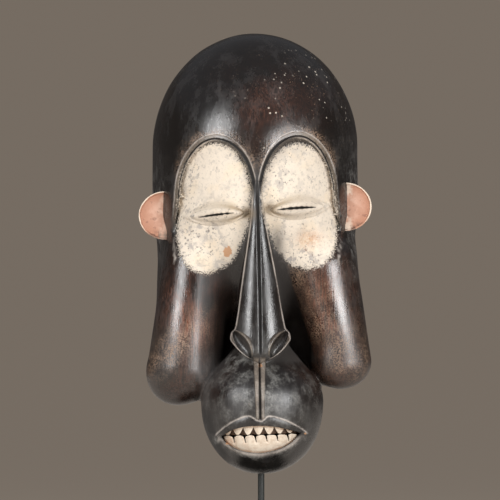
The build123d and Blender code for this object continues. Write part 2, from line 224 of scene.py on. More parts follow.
@dataclass(frozen=True)
class Skull:
    """The tall domed skull, round in front and carried straight back to the rim."""

    off_centre: float = -5.5
    half_width: float = 93.0
    equator: float = 295.5
    crown_rise: float = 104.5
    side_foot: float = 235.0
    foot: float = 105.0
    taper: float = 1.5
    axis_depth: float = 30.0

    def gap(self, at: Places) -> Array:
        """Signed distance of the skull.

        Args:
            at: Places on the mask.

        Returns:
            Signed distance, negative inside.
        """
        x, d, h = at
        radius = np.hypot(x - self.off_centre, np.maximum(d - self.axis_depth, 0.0)) + 1e-4
        rise = np.maximum(h - self.equator, 0.0)
        size = np.hypot(radius / self.half_width, rise / self.crown_rise)
        fall = np.hypot(radius / self.half_width**2, rise / self.crown_rise**2)
        dome = size * (size - 1.0) / fall
        drop = np.clip((self.side_foot - h) / (self.side_foot - self.foot), 0.0, 1.3)
        width = self.half_width * (1.0 - drop**self.taper)
        slope = self.half_width * self.taper * np.sqrt(drop) / (self.side_foot - self.foot)
        return np.where(h > self.side_foot, dome, (radius - width) / np.sqrt(1.0 + slope * slope))


@dataclass(frozen=True)
class Web:
    """The wood behind the cheeks that joins them to the skull and muzzle."""

    front_depth: float = 38.0
    rounding: float = 12.0
    width: Profile = Profile(
        (58, -30), (72, 22), (80, 44), (88, 54), (128, 70), (180, 85), (235, 88), (300, 86), (350, 50),
        (400, -30),
    )

    def gap(self, at: Places) -> Array:
        """Signed distance of the web, at places measured from the skull's own middle."""
        side = (np.abs(at.x) - self.width(at.h)) / self.width.steepness(at.h)
        return smooth_overlap(side, at.d - self.front_depth, self.rounding)


@dataclass(frozen=True)
class Cheek:
    """A pendulous cheek: a long bag with a heavier foot."""

    foot: Point
    top: Point
    corner: Point
    axis_depth: Profile
    blend: float = 10.0

    def gap(self, at: Places) -> Array:
        """Signed distance of the cheek.

        Args:
            at: Places on the mask.

        Returns:
            Signed distance, negative inside.
        """
        x, d, h = at
        forward = np.maximum(d - self.axis_depth(h), 0.0)
        bag = strut(at._replace(d=forward), self.foot, self.top)
        corner = np.sqrt((x - self.corner[0]) ** 2 + (h - self.corner[1]) ** 2 + forward**2) - self.corner[2]
        return smooth_union(bag, corner, self.blend)


@dataclass(frozen=True)
class Muzzle:
    """The jutting muzzle: a round chin that draws in to a neck under the nose."""

    off_centre: float = 0.8
    axis_depth: float = 85.0
    half_width: float = 55.3
    wide_height: float = 66.0
    chin_power: float = 2.15
    neck: Profile = Profile(
        (54, 55.5), (66, 55.3), (72, 54.7), (78, 53.2), (84, 50.4), (91, 45.4), (98, 39.2), (105, 33.0),
        (112, 27.2), (122, 20.5), (150, 8), (180, -20),
    )

    def gap(self, at: Places) -> Array:
        """Signed distance of the muzzle.

        Args:
            at: Places on the mask.

        Returns:
            Signed distance, negative inside.
        """
        x, d, h = at
        radius = np.hypot(x - self.off_centre, np.maximum(d - self.axis_depth, 0.0)) + 1e-4
        chin = round_gap(radius, self.wide_height - h, self.half_width, self.wide_height, self.chin_power)
        neck = (radius - self.neck(h)) / self.neck.steepness(h)
        return np.where(h < self.wide_height, chin, neck)


class Side(Enum):
    """Which side of the mask, as it is seen from in front."""

    LEFT = -1
    RIGHT = 1


@dataclass(frozen=True)
class EyePanel:
    """A sunken egg-shaped panel under a brow arch, with a slit eye standing in it."""

    side: Side
    arch_centre: float
    arch_half_width: float
    arch_top: float
    floor_centre: float
    floor_half_width: float
    floor_top: float
    floor_bottom: float
    lean: float
    eye: tuple[float, float]
    eye_tilt: float
    slit: tuple[float, float]
    slit_tilt: float
    slit_half_length: float
    corner: tuple[float, float]
    centre_height: float = 250.0
    arch_bottom: float = 168.0
    foot_power: float = 2.6
    band: float = 3.2
    inner_band: float = 0.7
    groove: float = 1.0
    inner_groove: float = 2.3
    sink: float = 7.0
    eye_half_length: float = 30.0
    eye_half_height: float = 10.2
    lens_half_length: float = 25.0
    lens_half_height: float = 6.6
    slit_half_height: float = 0.8
    slit_slope: float = 0.16
    slit_depth: float = 111.0
    band_depth: float = 0.7
    groove_depth: float = 2.0
    lid_height: float = 4.4
    lens_height: float = 2.0
    crease_depth: float = 1.5
    corner_depth: float = 3.6

    def egg(self, at: Places, centre: float, half_width: float, top: float, bottom: float) -> Array:
        """Distance from an egg-shaped outline whose foot leans outwards.

        Args:
            at: Places on the mask.
            centre: Middle of the egg's widest part.
            half_width: Half of its width there.
            top: Height of its top.
            bottom: Height of its foot.

        Returns:
            Signed distance, negative inside.
        """
        x, h = at.x, at.h
        rise = h - self.centre_height
        u = x - centre - self.lean * np.maximum(-rise, 0.0)
        upper = round_gap(u, rise, half_width, top - self.centre_height)
        lower = round_gap(u, rise, half_width, self.centre_height - bottom, self.foot_power)
        return np.where(rise > 0.0, upper, lower)

    def arch(self, at: Places) -> Array:
        """Distance from the line of the brow arch."""
        return self.egg(at, self.arch_centre, self.arch_half_width, self.arch_top, self.arch_bottom)

    def floor(self, at: Places) -> Array:
        """Distance from the edge of the panel's floor."""
        return self.egg(at, self.floor_centre, self.floor_half_width, self.floor_top, self.floor_bottom)

    def outwards(self, at: Places) -> Array:
        """Distance outwards from the arch's middle."""
        return self.side.value * (at.x - self.arch_centre)

    def arch_strength(self, at: Places) -> Array:
        """How far the arch's line is cut: whole over the brow, gone below the eye."""
        return np.where(self.outwards(at) > 0.0, step(221.0, 243.0, at.h), step(252.0, 262.0, at.h))

    def line(self, at: Places) -> tuple[Array, Array, Array]:
        """The brow line's parts: a flat dusty band with a deep groove along its inner edge.

        Args:
            at: Places on the mask.

        Returns:
            How strongly a place belongs to the band and to the groove, and how far in the line ends.
        """
        arch, arched = self.arch(at), self.arch_strength(at)
        inward = step(4.0, 30.0, -self.outwards(at))
        start = self.band + (self.inner_band - self.band) * inward
        end = start + self.groove + (self.inner_groove - self.groove) * inward
        band = step(0.25, -0.25, arch) * step(-start - 0.2, -start + 0.2, arch) * arched
        groove = step(-start + 0.25, -start - 0.25, arch) * step(-end - 0.25, -end + 0.25, arch) * arched
        return band, groove, end * arched

    def lens(self, at: Places, half_length: float, half_height: float) -> tuple[Array, Array]:
        """How far out a place is in an almond shape about the eye.

        Args:
            at: Places on the mask.
            half_length: Half of the almond's length.
            half_height: Half of its height.

        Returns:
            The signed share of the way from its long axis to its edge, and its own height there, 0 to 1.
        """
        x, h = at.x, at.h
        u = (x - self.eye[0]) / half_length
        v = h - self.eye[1] - self.eye_tilt * (x - self.eye[0])
        open_share = np.clip(1.0 - u * u, 1e-4, 1.0) ** 0.8
        return v / (half_height * open_share), np.where(np.abs(u) < 1.0, open_share, 0.0)

    def relief(self, at: Places) -> Array:
        """How far the panel's surface lies below the skull's own, in millimetres.

        Args:
            at: Places on the mask.

        Returns:
            The depth, above 0 where the panel is sunk.
        """
        x, h = at.x, at.h
        arch, floor = self.arch(at), self.floor(at)
        band, groove, end = self.line(at)
        inside = arch + end + 0.3
        wall = np.clip(inside / np.minimum(inside - floor, -1e-3), 0.0, 1.0)
        wall = np.where(inside < 0.0, np.where(floor < 0.0, 1.0, wall), 0.0)
        outer = step(4.0, 22.0, self.outwards(at))
        deep = step(182.0, 232.0, h) * (1.0 - outer) + step(205.0, 252.0, h) * outer
        sunk = self.sink * deep * wall * (2.0 - wall)
        lid, open_share = self.lens(at, self.eye_half_length, self.eye_half_height)
        ball, ball_share = self.lens(at, self.lens_half_length, self.lens_half_height)
        mound = self.lid_height * np.clip(1.0 - lid * lid, 0.0, 1.0) ** 0.7 * open_share**0.7
        inner = 0.55 + 0.45 * step(-15.0, 20.0, -self.side.value * (x - self.eye[0]))
        crease = self.crease_depth * inner * bell(np.abs(ball) - 1.15, 0.42)
        crease = crease * np.clip(3.0 * open_share, 0.0, 1.0)
        swelling = self.lens_height * np.clip(1.0 - ball * ball, 0.0, 1.0) * ball_share
        pit = self.corner_depth * blob(at, self.corner, (5.0, 4.2))
        line = self.band_depth * band + self.groove_depth * groove
        return sunk + line - mound + crease - swelling + pit

    def stain(self, at: Places) -> Array:
        """How strongly painted shade darkens the creases round the eye to brown, most of all towards the
        nose, and round the slit.

        Args:
            at: Places on the mask.

        Returns:
            A strength from 0 to 1.
        """
        x, h = at.x, at.h
        ball, share = self.lens(at, self.lens_half_length, self.lens_half_height)
        inner = step(-18.0, 20.0, -self.side.value * (x - self.eye[0]))
        # Painted shade: brown in the creases round the lens, in the fold above it and at the inner corner.
        crease = bell(np.abs(ball) - 1.12, 0.42) * np.clip(2.0 * share, 0.0, 1.0)
        fold = bell(ball - 1.6, 0.55) * np.clip(2.0 * share, 0.0, 1.0)
        corner = 1.3 * blob(at, self.corner, (6.5, 5.0))
        # Painted shade round the slit, reaching further above it.
        along = (x - self.slit[0]) / (self.slit_half_length + 3.0)
        beside = (h - self.slit[1] - self.slit_tilt * (x - self.slit[0])) / 1.7
        above = np.where(beside > 0.0, 2.2, 1.0)
        shade = 0.55 * bell(beside, above) * np.clip(1.0 - along * along, 0.0, 1.0) ** 0.5
        return np.clip(np.maximum(crease * (0.24 + 0.7 * inner**2) + 0.3 * fold, shade) + corner, 0.0, 1.0)

    def slit_gap(self, at: Places) -> Array:
        """Distance from the slit that pierces the eye, sloping down as it goes in.

        Args:
            at: Places on the mask.

        Returns:
            Signed distance, negative inside.
        """
        x, d, h = at
        u = (x - self.slit[0]) / self.slit_half_length
        v = h - self.slit[1] - self.slit_tilt * (x - self.slit[0]) - self.slit_slope * (d - self.slit_depth)
        half_height = self.slit_half_height * np.clip(1.0 - u * u, 0.0, 1.0)
        half_height = half_height * (1.0 + 0.45 * ripple(Places(x, 0.0 * d, 0.4 * h), 4.2, 11))
        return np.maximum(np.abs(v) - half_height, (np.abs(u) - 1.0) * self.slit_half_length)


@dataclass(frozen=True)
class Nose:
    """The long nose: two facets that meet in a ridge with a groove down it, and leaf-shaped nostrils."""

    root_height: float = 264.0
    tip_height: float = 101.0
    root_depth: float = 124.5
    tip_depth: float = 143.5
    back_depth: float = 60.0
    facet_swell: float = 0.17
    facet_fall: float = 0.42
    groove_depth: float = 2.2
    edge_round: float = 2.4
    tip_tuck: float = 9.0
    breadth: Profile = Profile(
        (100, 21.0), (131, 22.0), (167, 17.2), (202.7, 11.4), (225, 7.6), (248, 4.9), (266, 3.4)
    )
    wings: Profile = Profile(
        (100.8, 0.0), (102.4, 5.0), (104.5, 9.4), (110.5, 18.0), (116.5, 23.6), (122.7, 27.4),
        (127.5, 26.6), (131.8, 23.2), (139.0, 21.6), (167.0, 17.2), (202.7, 11.4), (225.0, 7.6),
        (248.0, 4.9), (266.0, 3.4),
    )
    middle: Profile = Profile((102, -0.6), (150, -1.1), (200, -2.2), (264, -3.9))
    nostril_top: tuple[float, float] = (24.6, 130.0)
    nostril_foot: tuple[float, float] = (8.6, 105.6)
    nostril_half_width: float = 5.0
    nostril_depth: float = 4.6
    nostril_rim: float = 1.3

    def across(self, at: Places) -> Array:
        """Distance across from the nose's leaning middle line."""
        return at.x - self.middle(at.h)

    def nostril(self, at: Places) -> tuple[Array, Array]:
        """Where a place lies in the nearer nostril's leaf shape.

        Args:
            at: Places on the mask.

        Returns:
            The share of the way from the leaf's axis to its edge, above 0 towards the nose's middle, and the
            share of its length from the top.
        """
        h = at.h
        u = np.abs(self.across(at))
        run, climb = (foot - top for foot, top in zip(self.nostril_foot, self.nostril_top))
        length = math.hypot(run, climb)
        along = ((u - self.nostril_top[0]) * run + (h - self.nostril_top[1]) * climb) / length**2
        aside = ((u - self.nostril_top[0]) * climb - (h - self.nostril_top[1]) * run) / length
        leaf = np.sin(np.pi * np.clip(along, 0.001, 0.999)) ** 0.62
        return aside / (self.nostril_half_width * leaf), along

    def front(self, at: Places) -> Array:
        """Depth of the nose's front surface.

        Args:
            at: Places on the mask.

        Returns:
            The depth in millimetres.
        """
        h = at.h
        u = np.abs(self.across(at))
        share = (h - self.tip_height) / (self.root_height - self.tip_height)
        ridge = self.tip_depth + (self.root_depth - self.tip_depth) * share
        breadth = self.breadth(h)
        out = np.clip(u / breadth, 0.0, 1.25)
        facet = ridge + breadth * (self.facet_swell * out * (1.0 - out) - self.facet_fall * out**2.2)
        groove = self.groove_depth * bell(u, 0.85 + 0.35 * np.clip(share, 0.0, 1.0)) * step(105.0, 113.0, h)
        leaf, along = self.nostril(at)
        cup = self.nostril_depth * np.clip(1.0 - leaf * leaf, 0.0, 1.0) ** 0.75
        rim = self.nostril_rim * bell(np.abs(leaf) - 1.25, 0.32)
        rim = rim * step(-0.12, 0.1, along) * step(1.12, 0.9, along)
        tuck = self.tip_tuck * step(112.0, 100.5, h) ** 1.5
        return facet - groove - cup + rim - tuck

    def gap(self, at: Places) -> Array:
        """Signed distance of the nose.

        Args:
            at: Places on the mask.

        Returns:
            Signed distance, negative inside.
        """
        d, h = at.d, at.h
        u = np.abs(self.across(at))
        side = (u - self.wings(h)) / self.wings.steepness(h)
        front = (d - self.front(at)) * 0.9
        ends = np.maximum(h - self.root_height, self.tip_height - 0.4 - h)
        body = smooth_overlap(side, front, self.edge_round)
        return np.maximum(np.maximum(body, self.back_depth - d), ends)


@dataclass(frozen=True)
class Mouth:
    """The open mouth, its sharp-edged upper lip, soft lower lip and the ridged channel above."""

    opening_top: Profile = Profile(
        (-36.6, 33.9), (-25.6, 40.4), (-12.7, 43.6), (0.4, 44.3), (13.4, 43.2), (26.4, 40.2), (36.0, 37.8)
    )
    opening_foot: Profile = Profile(
        (-36.6, 33.9), (-31, 28.2), (-25.6, 24.6), (-12.7, 20.5), (-2.2, 19.5), (13.4, 22.3),
        (26.4, 28.4), (36.0, 37.8),
    )
    lip_top: Profile = Profile(
        (-42.5, 34.2), (-34, 42.3), (-25.6, 47.9), (-11.5, 52.9), (-0.9, 48.3), (7.2, 52.9), (19.9, 49.8),
        (32.7, 43.6), (42.0, 37.0),
    )
    left_corner: float = -36.6
    right_corner: float = 36.0
    lower_lip: float = 8.0
    upper_swell: float = 2.6
    lower_swell: float = 1.9
    ridge_height: float = 1.5
    channel_depth: float = 3.2
    channel_middle: float = -1.6
    channel_foot: float = 49.0
    channel_top: float = 103.0

    def opening_gap(self, at: Places) -> Array:
        """Distance from the mouth's opening, seen from in front.

        Args:
            at: Places on the mask.

        Returns:
            Signed distance, negative inside.
        """
        x, h = at.x, at.h
        top = (h - self.opening_top(x)) / self.opening_top.steepness(x)
        foot = (self.opening_foot(x) - h) / self.opening_foot.steepness(x)
        ends = np.maximum(self.left_corner - x, x - self.right_corner)
        return np.maximum(np.maximum(top, foot), ends)

    def upper_lip(self, at: Places) -> tuple[Array, Array]:
        """Where a place lies on the upper lip.

        Args:
            at: Places on the mask.

        Returns:
            The share of the way from the lip's foot to its edge, and the distance below that edge.
        """
        x, h = at.x, at.h
        edge, foot = self.lip_top(x), self.opening_top(x)
        share = (h - foot) / np.maximum(edge - foot, 1.0)
        return share, (edge - h) / self.lip_top.steepness(x)

    def relief(self, at: Places) -> Array:
        """How far the lips and the channel's ridges stand out from the muzzle, in millimetres.

        Args:
            at: Places on the mask.

        Returns:
            The height, below 0 in the channel's groove.
        """
        x, h = at.x, at.h
        share, below_edge = self.upper_lip(at)
        within = step(-44.0, -40.0, x) * step(43.5, 39.5, x)
        bow = np.clip(1.0 - (np.clip(share, 0.0, 1.0) - 0.5) ** 2 * 1.6, 0.0, 1.0)
        upper = self.upper_swell * bow * step(-0.35, 0.45, below_edge)
        upper = upper * np.where(share > -2.0, 1.0, 0.0) * within
        upper = np.where(h > self.opening_foot(x) + 1.0, upper, 0.0)
        under = np.clip((self.opening_foot(x) - h) / self.lower_lip, -0.3, 1.4)
        corner = np.clip(1.0 - (x / 41.0) ** 2, 0.0, 1.0)
        swell = np.clip(1.0 - ((under - 0.35) / 0.85) ** 2, 0.0, 1.0) ** 1.3
        lower = self.lower_swell * swell * corner**0.5
        return np.maximum(upper, lower) + self.channel(at)[0]

    def channel(self, at: Places) -> tuple[Array, Array, Array]:
        """The two ridges with a groove between them, from the nose down to the lip.

        Args:
            at: Places on the mask.

        Returns:
            How far they stand out, and how strongly a place belongs to a ridge and to the groove, 0 to 1.
        """
        x, h = at.x, at.h
        climb = np.clip((h - self.channel_foot) / (self.channel_top - self.channel_foot), 0.0, 1.0)
        u = np.abs(x - self.channel_middle - 0.7 * (1.0 - climb))
        half = 4.1 + 1.4 * climb
        run = step(self.channel_foot - 0.5, self.channel_foot + 2.5, h) * step(107.0, 103.0, h)
        ridge = step(0.3, -0.9, u - half) * run
        groove = bell(u, 1.1 - 0.4 * climb) * run
        out = self.ridge_height * ridge - self.channel_depth * groove
        return out, ridge * (1.0 - groove), groove


def ripple(at: Places, length: float, seed: int) -> Array:
    """Gentle uneven waves, as a blade leaves them.

    Args:
        at: Places on the mask.
        length: About how far apart the waves are.
        seed: Which set of waves.

    Returns:
        Values about 0, mostly within 1.
    """
    x, d, h = at
    draw = np.random.default_rng(seed)
    total = np.zeros_like(x)
    waves = 6
    for _ in range(waves):
        way = draw.normal(size=3)
        way *= draw.uniform(0.7, 1.4) * 2.0 * np.pi / (length * np.linalg.norm(way))
        phase = way[0] * x + way[1] * d + way[2] * h + draw.uniform(0.0, 2.0 * np.pi)
        total += np.sin(phase).astype(np.float32)
    return total / math.sqrt(waves)


@dataclass(frozen=True)
class Carving:
    """The whole carved mask as one form, with the marks that its finish follows."""

    skull: Skull = Skull()
    web: Web = Web()
    muzzle: Muzzle = Muzzle()
    nose: Nose = Nose()
    mouth: Mouth = Mouth()
    cheeks: tuple[Cheek, ...] = (
        Cheek(
            foot=(-69.5, 97.0, 33.2),
            top=(-59.0, 192.0, 30.5),
            corner=(-79.0, 86.5, 22.5),
            axis_depth=Profile((60, 74), (130, 73), (220, 66)),
        ),
        Cheek(
            foot=(76.0, 102.0, 24.0),
            top=(54.5, 190.0, 32.0),
            corner=(66.5, 100.5, 21.0),
            axis_depth=Profile((60, 78), (130, 74), (220, 66)),
        ),
    )
    panels: tuple[EyePanel, ...] = (
        EyePanel(
            side=Side.LEFT,
            arch_centre=-41.2,
            arch_half_width=37.3,
            arch_top=307.0,
            floor_centre=-42.1,
            floor_half_width=32.6,
            floor_top=299.0,
            floor_bottom=182.5,
            lean=-0.11,
            eye=(-40.4, 234.8),
            eye_tilt=0.06,
            slit=(-40.6, 233.9),
            slit_tilt=0.06,
            slit_half_length=15.5,
            corner=(-13.2, 235.5),
        ),
        EyePanel(
            side=Side.RIGHT,
            arch_centre=33.0,
            arch_half_width=36.5,
            arch_top=309.5,
            floor_centre=33.5,
            floor_half_width=33.1,
            floor_top=299.0,
            floor_bottom=186.0,
            lean=0.13,
            eye=(32.8, 240.2),
            eye_tilt=0.07,
            slit=(32.0, 240.2),
            slit_tilt=0.135,
            slit_half_length=17.0,
            corner=(7.6, 239.5),
        ),
    )
    wall: float = 14.0
    rim_round: float = 2.5
    web_blend: float = 10.0
    cheek_blend: float = 15.0
    muzzle_blend: float = 4.0
    nose_blend: float = 2.6
    hollow_blend: float = 8.0
    hollow_edge: float = 3.0
    wave_height: float = 0.22
    wave_length: float = 46.0
    blade_width: float = 17.0
    mouth_back: float = 70.0
    slit_back: float = 60.0
    panel_depth: tuple[float, float] = (40.0, 62.0)
    face_depth: tuple[float, float] = (80.0, 92.0)
    muzzle_depth: tuple[float, float] = (88.0, 100.0)

    # Soft spots of the finish: middle across and up, spread across and up, and strength
    SPOTS: ClassVar[dict[str, tuple[Spot, ...]]] = {
        "ochre": (
            (-31.0, 201.0, 4.8, 5.0, 1.3),
            (-1.0, 98.5, 4.0, 3.6, 0.55),
            (-29.5, 28.0, 6.0, 2.0, 0.7),
            (39.5, 37.0, 2.4, 1.8, 0.7),
        ),
        "tan": ((44.0, 212.5, 11.0, 7.5, 1.0),),
        "worn": (
            (-74.0, 84.0, 34.0, 26.0, 0.15),
            (78.0, 96.0, 26.0, 26.0, 0.15),
            (-62.0, 150.0, 22.0, 36.0, 1.0),
            (58.0, 150.0, 22.0, 40.0, 1.0),
            (-4.0, 326.0, 26.0, 34.0, 0.24),
            (35.0, 335.0, 28.0, 26.0, 0.12),
        ),
        # Painted shadow beside the nose's root, on the right.
        "beside nose": ((14.5, 208.0, 6.0, 15.0, 0.85),),
        "left lobe": ((-78.0, 118.0, 34.0, 44.0, 1.0),),
        "rubbed": ((82.0, 108.0, 22.0, 24.0, 0.75), (54.0, 160.0, 20.0, 34.0, 0.5)),
        "muzzle": ((0.0, 74.0, 46.0, 34.0, 1.0),),
        "face dust": ((-39.0, 33.0, 4.0, 3.6, 1.0), (-20.0, 100.0, 10.0, 8.0, 1.0)),
        "side dust": ((-97.0, 236.0, 9.0, 30.0, 1.0), (84.0, 236.0, 12.0, 44.0, 1.0)),
        "matt": ((-68.0, 112.0, 36.0, 20.0, 0.4), (78.0, 106.0, 28.0, 26.0, 0.4)),
        "chipped": ((44.0, 340.0, 27.0, 34.0, 1.0), (4.0, 318.0, 32.0, 24.0, 0.42)),
    }

    def hollow(self, at: Places) -> Array:
        """Signed distance of the space behind the face, roughly adzed.

        Args:
            at: Places on the mask.

        Returns:
            Signed distance, negative inside.
        """
        skull, muzzle = (mass.gap(at) + self.wall for mass in (self.skull, self.muzzle))
        space = smooth_union(skull, muzzle, self.hollow_blend)
        near_hook = blob(at, (0.0, 385.0), (28.0, 22.0))
        blade = 0.7 + 0.7 * ripple(Places(at.x, 0.5 * at.d, 0.6 * at.h), self.blade_width, 3)
        return space - np.clip(blade, 0.0, 1.4) * (1.0 - near_hook)

    def gap(self, at: Places) -> Array:
        """Signed distance of the mask's wood.

        Args:
            at: Places on the mask.

        Returns:
            Signed distance, negative inside.
        """
        web = self.web.gap(at._replace(x=at.x - self.skull.off_centre))
        form = smooth_union(self.skull.gap(at), web, self.web_blend)
        for cheek in self.cheeks:
            form = smooth_union(form, cheek.gap(at), self.cheek_blend)
        for panel in self.panels:
            form = form + panel.relief(at) * step(*self.panel_depth, at.d)
        muzzle = self.muzzle.gap(at) - self.mouth.relief(at) * step(*self.muzzle_depth, at.d)
        form = smooth_union(form, muzzle, self.muzzle_blend)
        form = smooth_union(form, self.nose.gap(at), self.nose_blend)
        form = form + self.wave_height * ripple(at, self.wave_length, 5)
        form = smooth_overlap(form, -self.hollow(at), self.hollow_edge)
        cut = np.minimum(self.mouth.opening_gap(at), 0.5 * self.rim_round)
        form = np.maximum(form, -np.maximum(cut, self.mouth_back - at.d))
        for panel in self.panels:
            form = np.maximum(form, -np.maximum(panel.slit_gap(at), self.slit_back - at.d))
        return smooth_overlap(form, -at.d, self.rim_round)

    def detail(self, at: Places) -> Array:
        """Whether the carving is fine enough at a place to need closer corners.

        Args:
            at: Places on the mask.

        Returns:
            True where it is.
        """
        x, d, h = at
        fine = np.zeros_like(x, bool)
        for panel in self.panels:
            fine |= (np.abs(panel.arch(at) + 2.3) < 4.2) & (panel.arch_strength(at) > 0.0)
            lid, _ = panel.lens(at, panel.eye_half_length, panel.eye_half_height)
            fine |= (np.abs(lid) < 1.3) & (np.abs(x - panel.eye[0]) < panel.eye_half_length + 1.0)
        nose_u = np.abs(self.nose.across(at))
        on_nose = (h > 100.0) & (h < 267.0)
        fine |= on_nose & ((np.abs(nose_u - self.nose.wings(h)) < 2.5) | (nose_u < 3.0))
        leaf, along = self.nose.nostril(at)
        fine |= (np.abs(leaf) < 1.9) & (np.abs(along - 0.5) < 0.7)
        fine |= (np.abs(x - self.mouth.channel_middle) < 8.0) & (h > 46.0) & (h < 107.0)
        fine |= (np.abs(self.mouth.upper_lip(at)[1]) < 2.5) & (np.abs(x) < 46.0) & (h > 25.0)
        fine |= np.abs(self.mouth.opening_gap(at)) < 3.0
        return fine & (d > 84.0)

    def eye_marks(self, at: Places) -> dict[str, Array]:
        """Where the brow lines carry painted highlight lines and hold residue, and where painted shade
        darkens the brow grooves, the eyes' inner corners, their slits and creases.

        Args:
            at: Places on the mask.

        Returns:
            A strength for each place and each mark.
        """
        names = ("edge", "residue", "dark", "stain", "halo")
        marks = {name: np.zeros_like(at.x) for name in names}
        for panel in self.panels:
            band, groove, end = panel.line(at)
            arch = panel.arch(at)
            outer = step(-8.0, 8.0, panel.outwards(at))
            # Painted highlights: a bright line along each arch and a silver line inside the groove on its
            # outer side.
            brink = bell(arch - 0.3, 0.5) * panel.arch_strength(at)
            inner_line = bell(arch + end + 1.0, 0.6) * outer * step(188.0, 200.0, at.h)
            # Painted shade: black at the eye's inner corner and round the slit, and in the brow line's groove
            # below.
            corner = 0.4 * blob(at, panel.corner, (2.6, 2.4))
            pierced = step(0.8, 0.0, panel.slit_gap(at))
            here = {
                "edge": np.maximum(0.7 * brink, inner_line),
                "residue": band * (0.15 + 0.35 * outer),
                "dark": np.maximum.reduce([groove, corner, pierced]),
                "stain": panel.stain(at),
                "halo": bell(arch - 2.0, 3.5) * step(262.0, 290.0, at.h),
            }
            marks = {name: np.maximum(marks[name], here[name]) for name in names}
        return marks

    def nose_marks(self, at: Places) -> dict[str, Array]:
        """Where the nose's edges are rubbed bright and hold residue, and where painted shade darkens its
        groove and the V between the brows.

        Args:
            at: Places on the mask.

        Returns:
            A strength for each place and each mark.
        """
        d, h = at.d, at.h
        across = np.abs(self.nose.across(at))
        over = d - self.nose.front(at)
        edge = bell(across - self.nose.wings(h) + 0.6, 0.6) * step(-5.0, -3.0, over)
        leaf, along = self.nose.nostril(at)
        on_leaf = step(-0.15, 0.05, along) * step(1.15, 0.95, along) * step(118.0, 124.0, d)
        flanks = bell(leaf - 1.3, 0.3) + 0.6 * bell(leaf + 1.25, 0.2)
        under_nose = blob(at, (-1.5, 98.5), (7.0, 3.2)) * step(125.0, 118.0, d)
        # Painted shade: black down the nose's groove and in the V between the brows.
        groove = bell(across, 1.05) * step(104.0, 110.0, h) * step(262.0, 256.0, h) * step(-6.0, -4.0, over)
        valley = 1.2 * blob(at, (-3.9, 262.0), (1.8, 9.0))
        return {
            "edge": 0.8 * edge * step(100.0, 108.0, h) * step(262.0, 250.0, h),
            "residue": np.maximum(0.5 * flanks * on_leaf, 0.8 * under_nose),
            "dark": np.maximum(groove, valley),
        }

    def mouth_marks(self, at: Places) -> dict[str, Array]:
        """Where the upper lip's edge carries a painted highlight line, the lower lip's inner edge is rubbed
        pale, the channel's ridges are rubbed pale and hold residue, and painted shade darkens the channel's
        groove.

        Args:
            at: Places on the mask.

        Returns:
            A strength for each place and each mark.
        """
        x = at.x
        # Painted highlight line along the upper lip's edge.
        lip_edge = bell(self.mouth.upper_lip(at)[1], 0.7) * step(-43.0, -40.0, x) * step(43.0, 40.0, x)
        rim = bell(self.mouth.opening_gap(at) - 1.6, 1.3) * step(37.0, 31.0, at.h)
        _, ridges, groove = self.mouth.channel(at)
        on_muzzle = step(95.0, 105.0, at.d)
        ridges = 0.5 * ridges * on_muzzle
        return {
            "edge": np.maximum.reduce([0.8 * lip_edge, 0.3 * ridges, 0.5 * rim]),
            "residue": ridges,
            # Painted shade in the channel's groove.
            "dark": groove * on_muzzle,
        }

    def wear_marks(self, at: Places, hollow: Array, halo: Array) -> dict[str, Array]:
        """Where the patina is worn, rubbed, dusty, matt and chipped, where a painted highlight lies on the
        right cheek's inner flank, and where painted shadow lies near-black beside the nose.

        Args:
            at: Places on the mask.
            hollow: Signed distance of the space behind the face.
            halo: How strongly a place lies round the brow arches.

        Returns:
            A strength for each place and each mark.
        """
        x, d, h = at
        front = step(*self.face_depth, d)
        outside = step(3.0, 8.0, hollow)
        # Painted shadow: the nose's cast shadow on the right cheek's inner side, sharp along a slanting line,
        # painted near-black.
        past_shade = x - 21.0 - 0.305 * (195.5 - h)
        shade = step(0.9, -0.9, past_shade) * step(206.0, 197.0, h) * step(98.0, 104.0, h) * step(2.0, 6.0, x)
        beside_nose = np.maximum(shade, spots(at, self.SPOTS["beside nose"]))
        hollowed = beside_nose * step(125.0, 118.0, d)
        # Painted highlight: a paler band on the right cheek's inner flank just past the painted shadow's
        # edge, added to the rubbed mark.
        lit_flank = bell(past_shade - 6.5, 7.0) * step(112.0, 128.0, h) * step(204.0, 190.0, h)
        slant = h - 118.0 - 0.75 * (x + 76.0)
        rubbed = bell(slant, 20.0) * spots(at, self.SPOTS["left lobe"]) + spots(at, self.SPOTS["rubbed"])
        rubbed = rubbed + 0.7 * step(4.0, 0.0, hollow - 9.0) * step(12.0, 3.0, d) + 0.9 * lit_flank
        muzzle = spots(at, self.SPOTS["muzzle"]) * step(*self.muzzle_depth, d)
        lower_lip = bell(self.mouth.opening_gap(at) - 3.0, 2.6) * step(36.0, 30.0, h) * front
        dust = 0.8 * muzzle + 0.9 * lower_lip + spots(at, self.SPOTS["face dust"]) * front
        flank = step(-60.0, -50.0, x) * step(-25.0, -35.0, x) * step(196.0, 184.0, h) * step(120.0, 108.0, d)
        matt = spots(at, self.SPOTS["matt"]) + flank + 0.3 * muzzle + 1.3 * hollowed
        return {
            "worn": np.clip(spots(at, self.SPOTS["worn"]), 0.0, 1.0),
            "hollowed": hollowed,
            "rubbed": np.clip(rubbed + 0.7 * halo * front, 0.0, 1.0) * outside,
            "dust": np.clip(dust + spots(at, self.SPOTS["side dust"]) * outside, 0.0, 1.0),
            "matt": np.clip(matt, 0.0, 1.6),
            "flecks": np.clip(spots(at, self.SPOTS["chipped"]) + 0.25 * outside, 0.0, 1.0),
        }

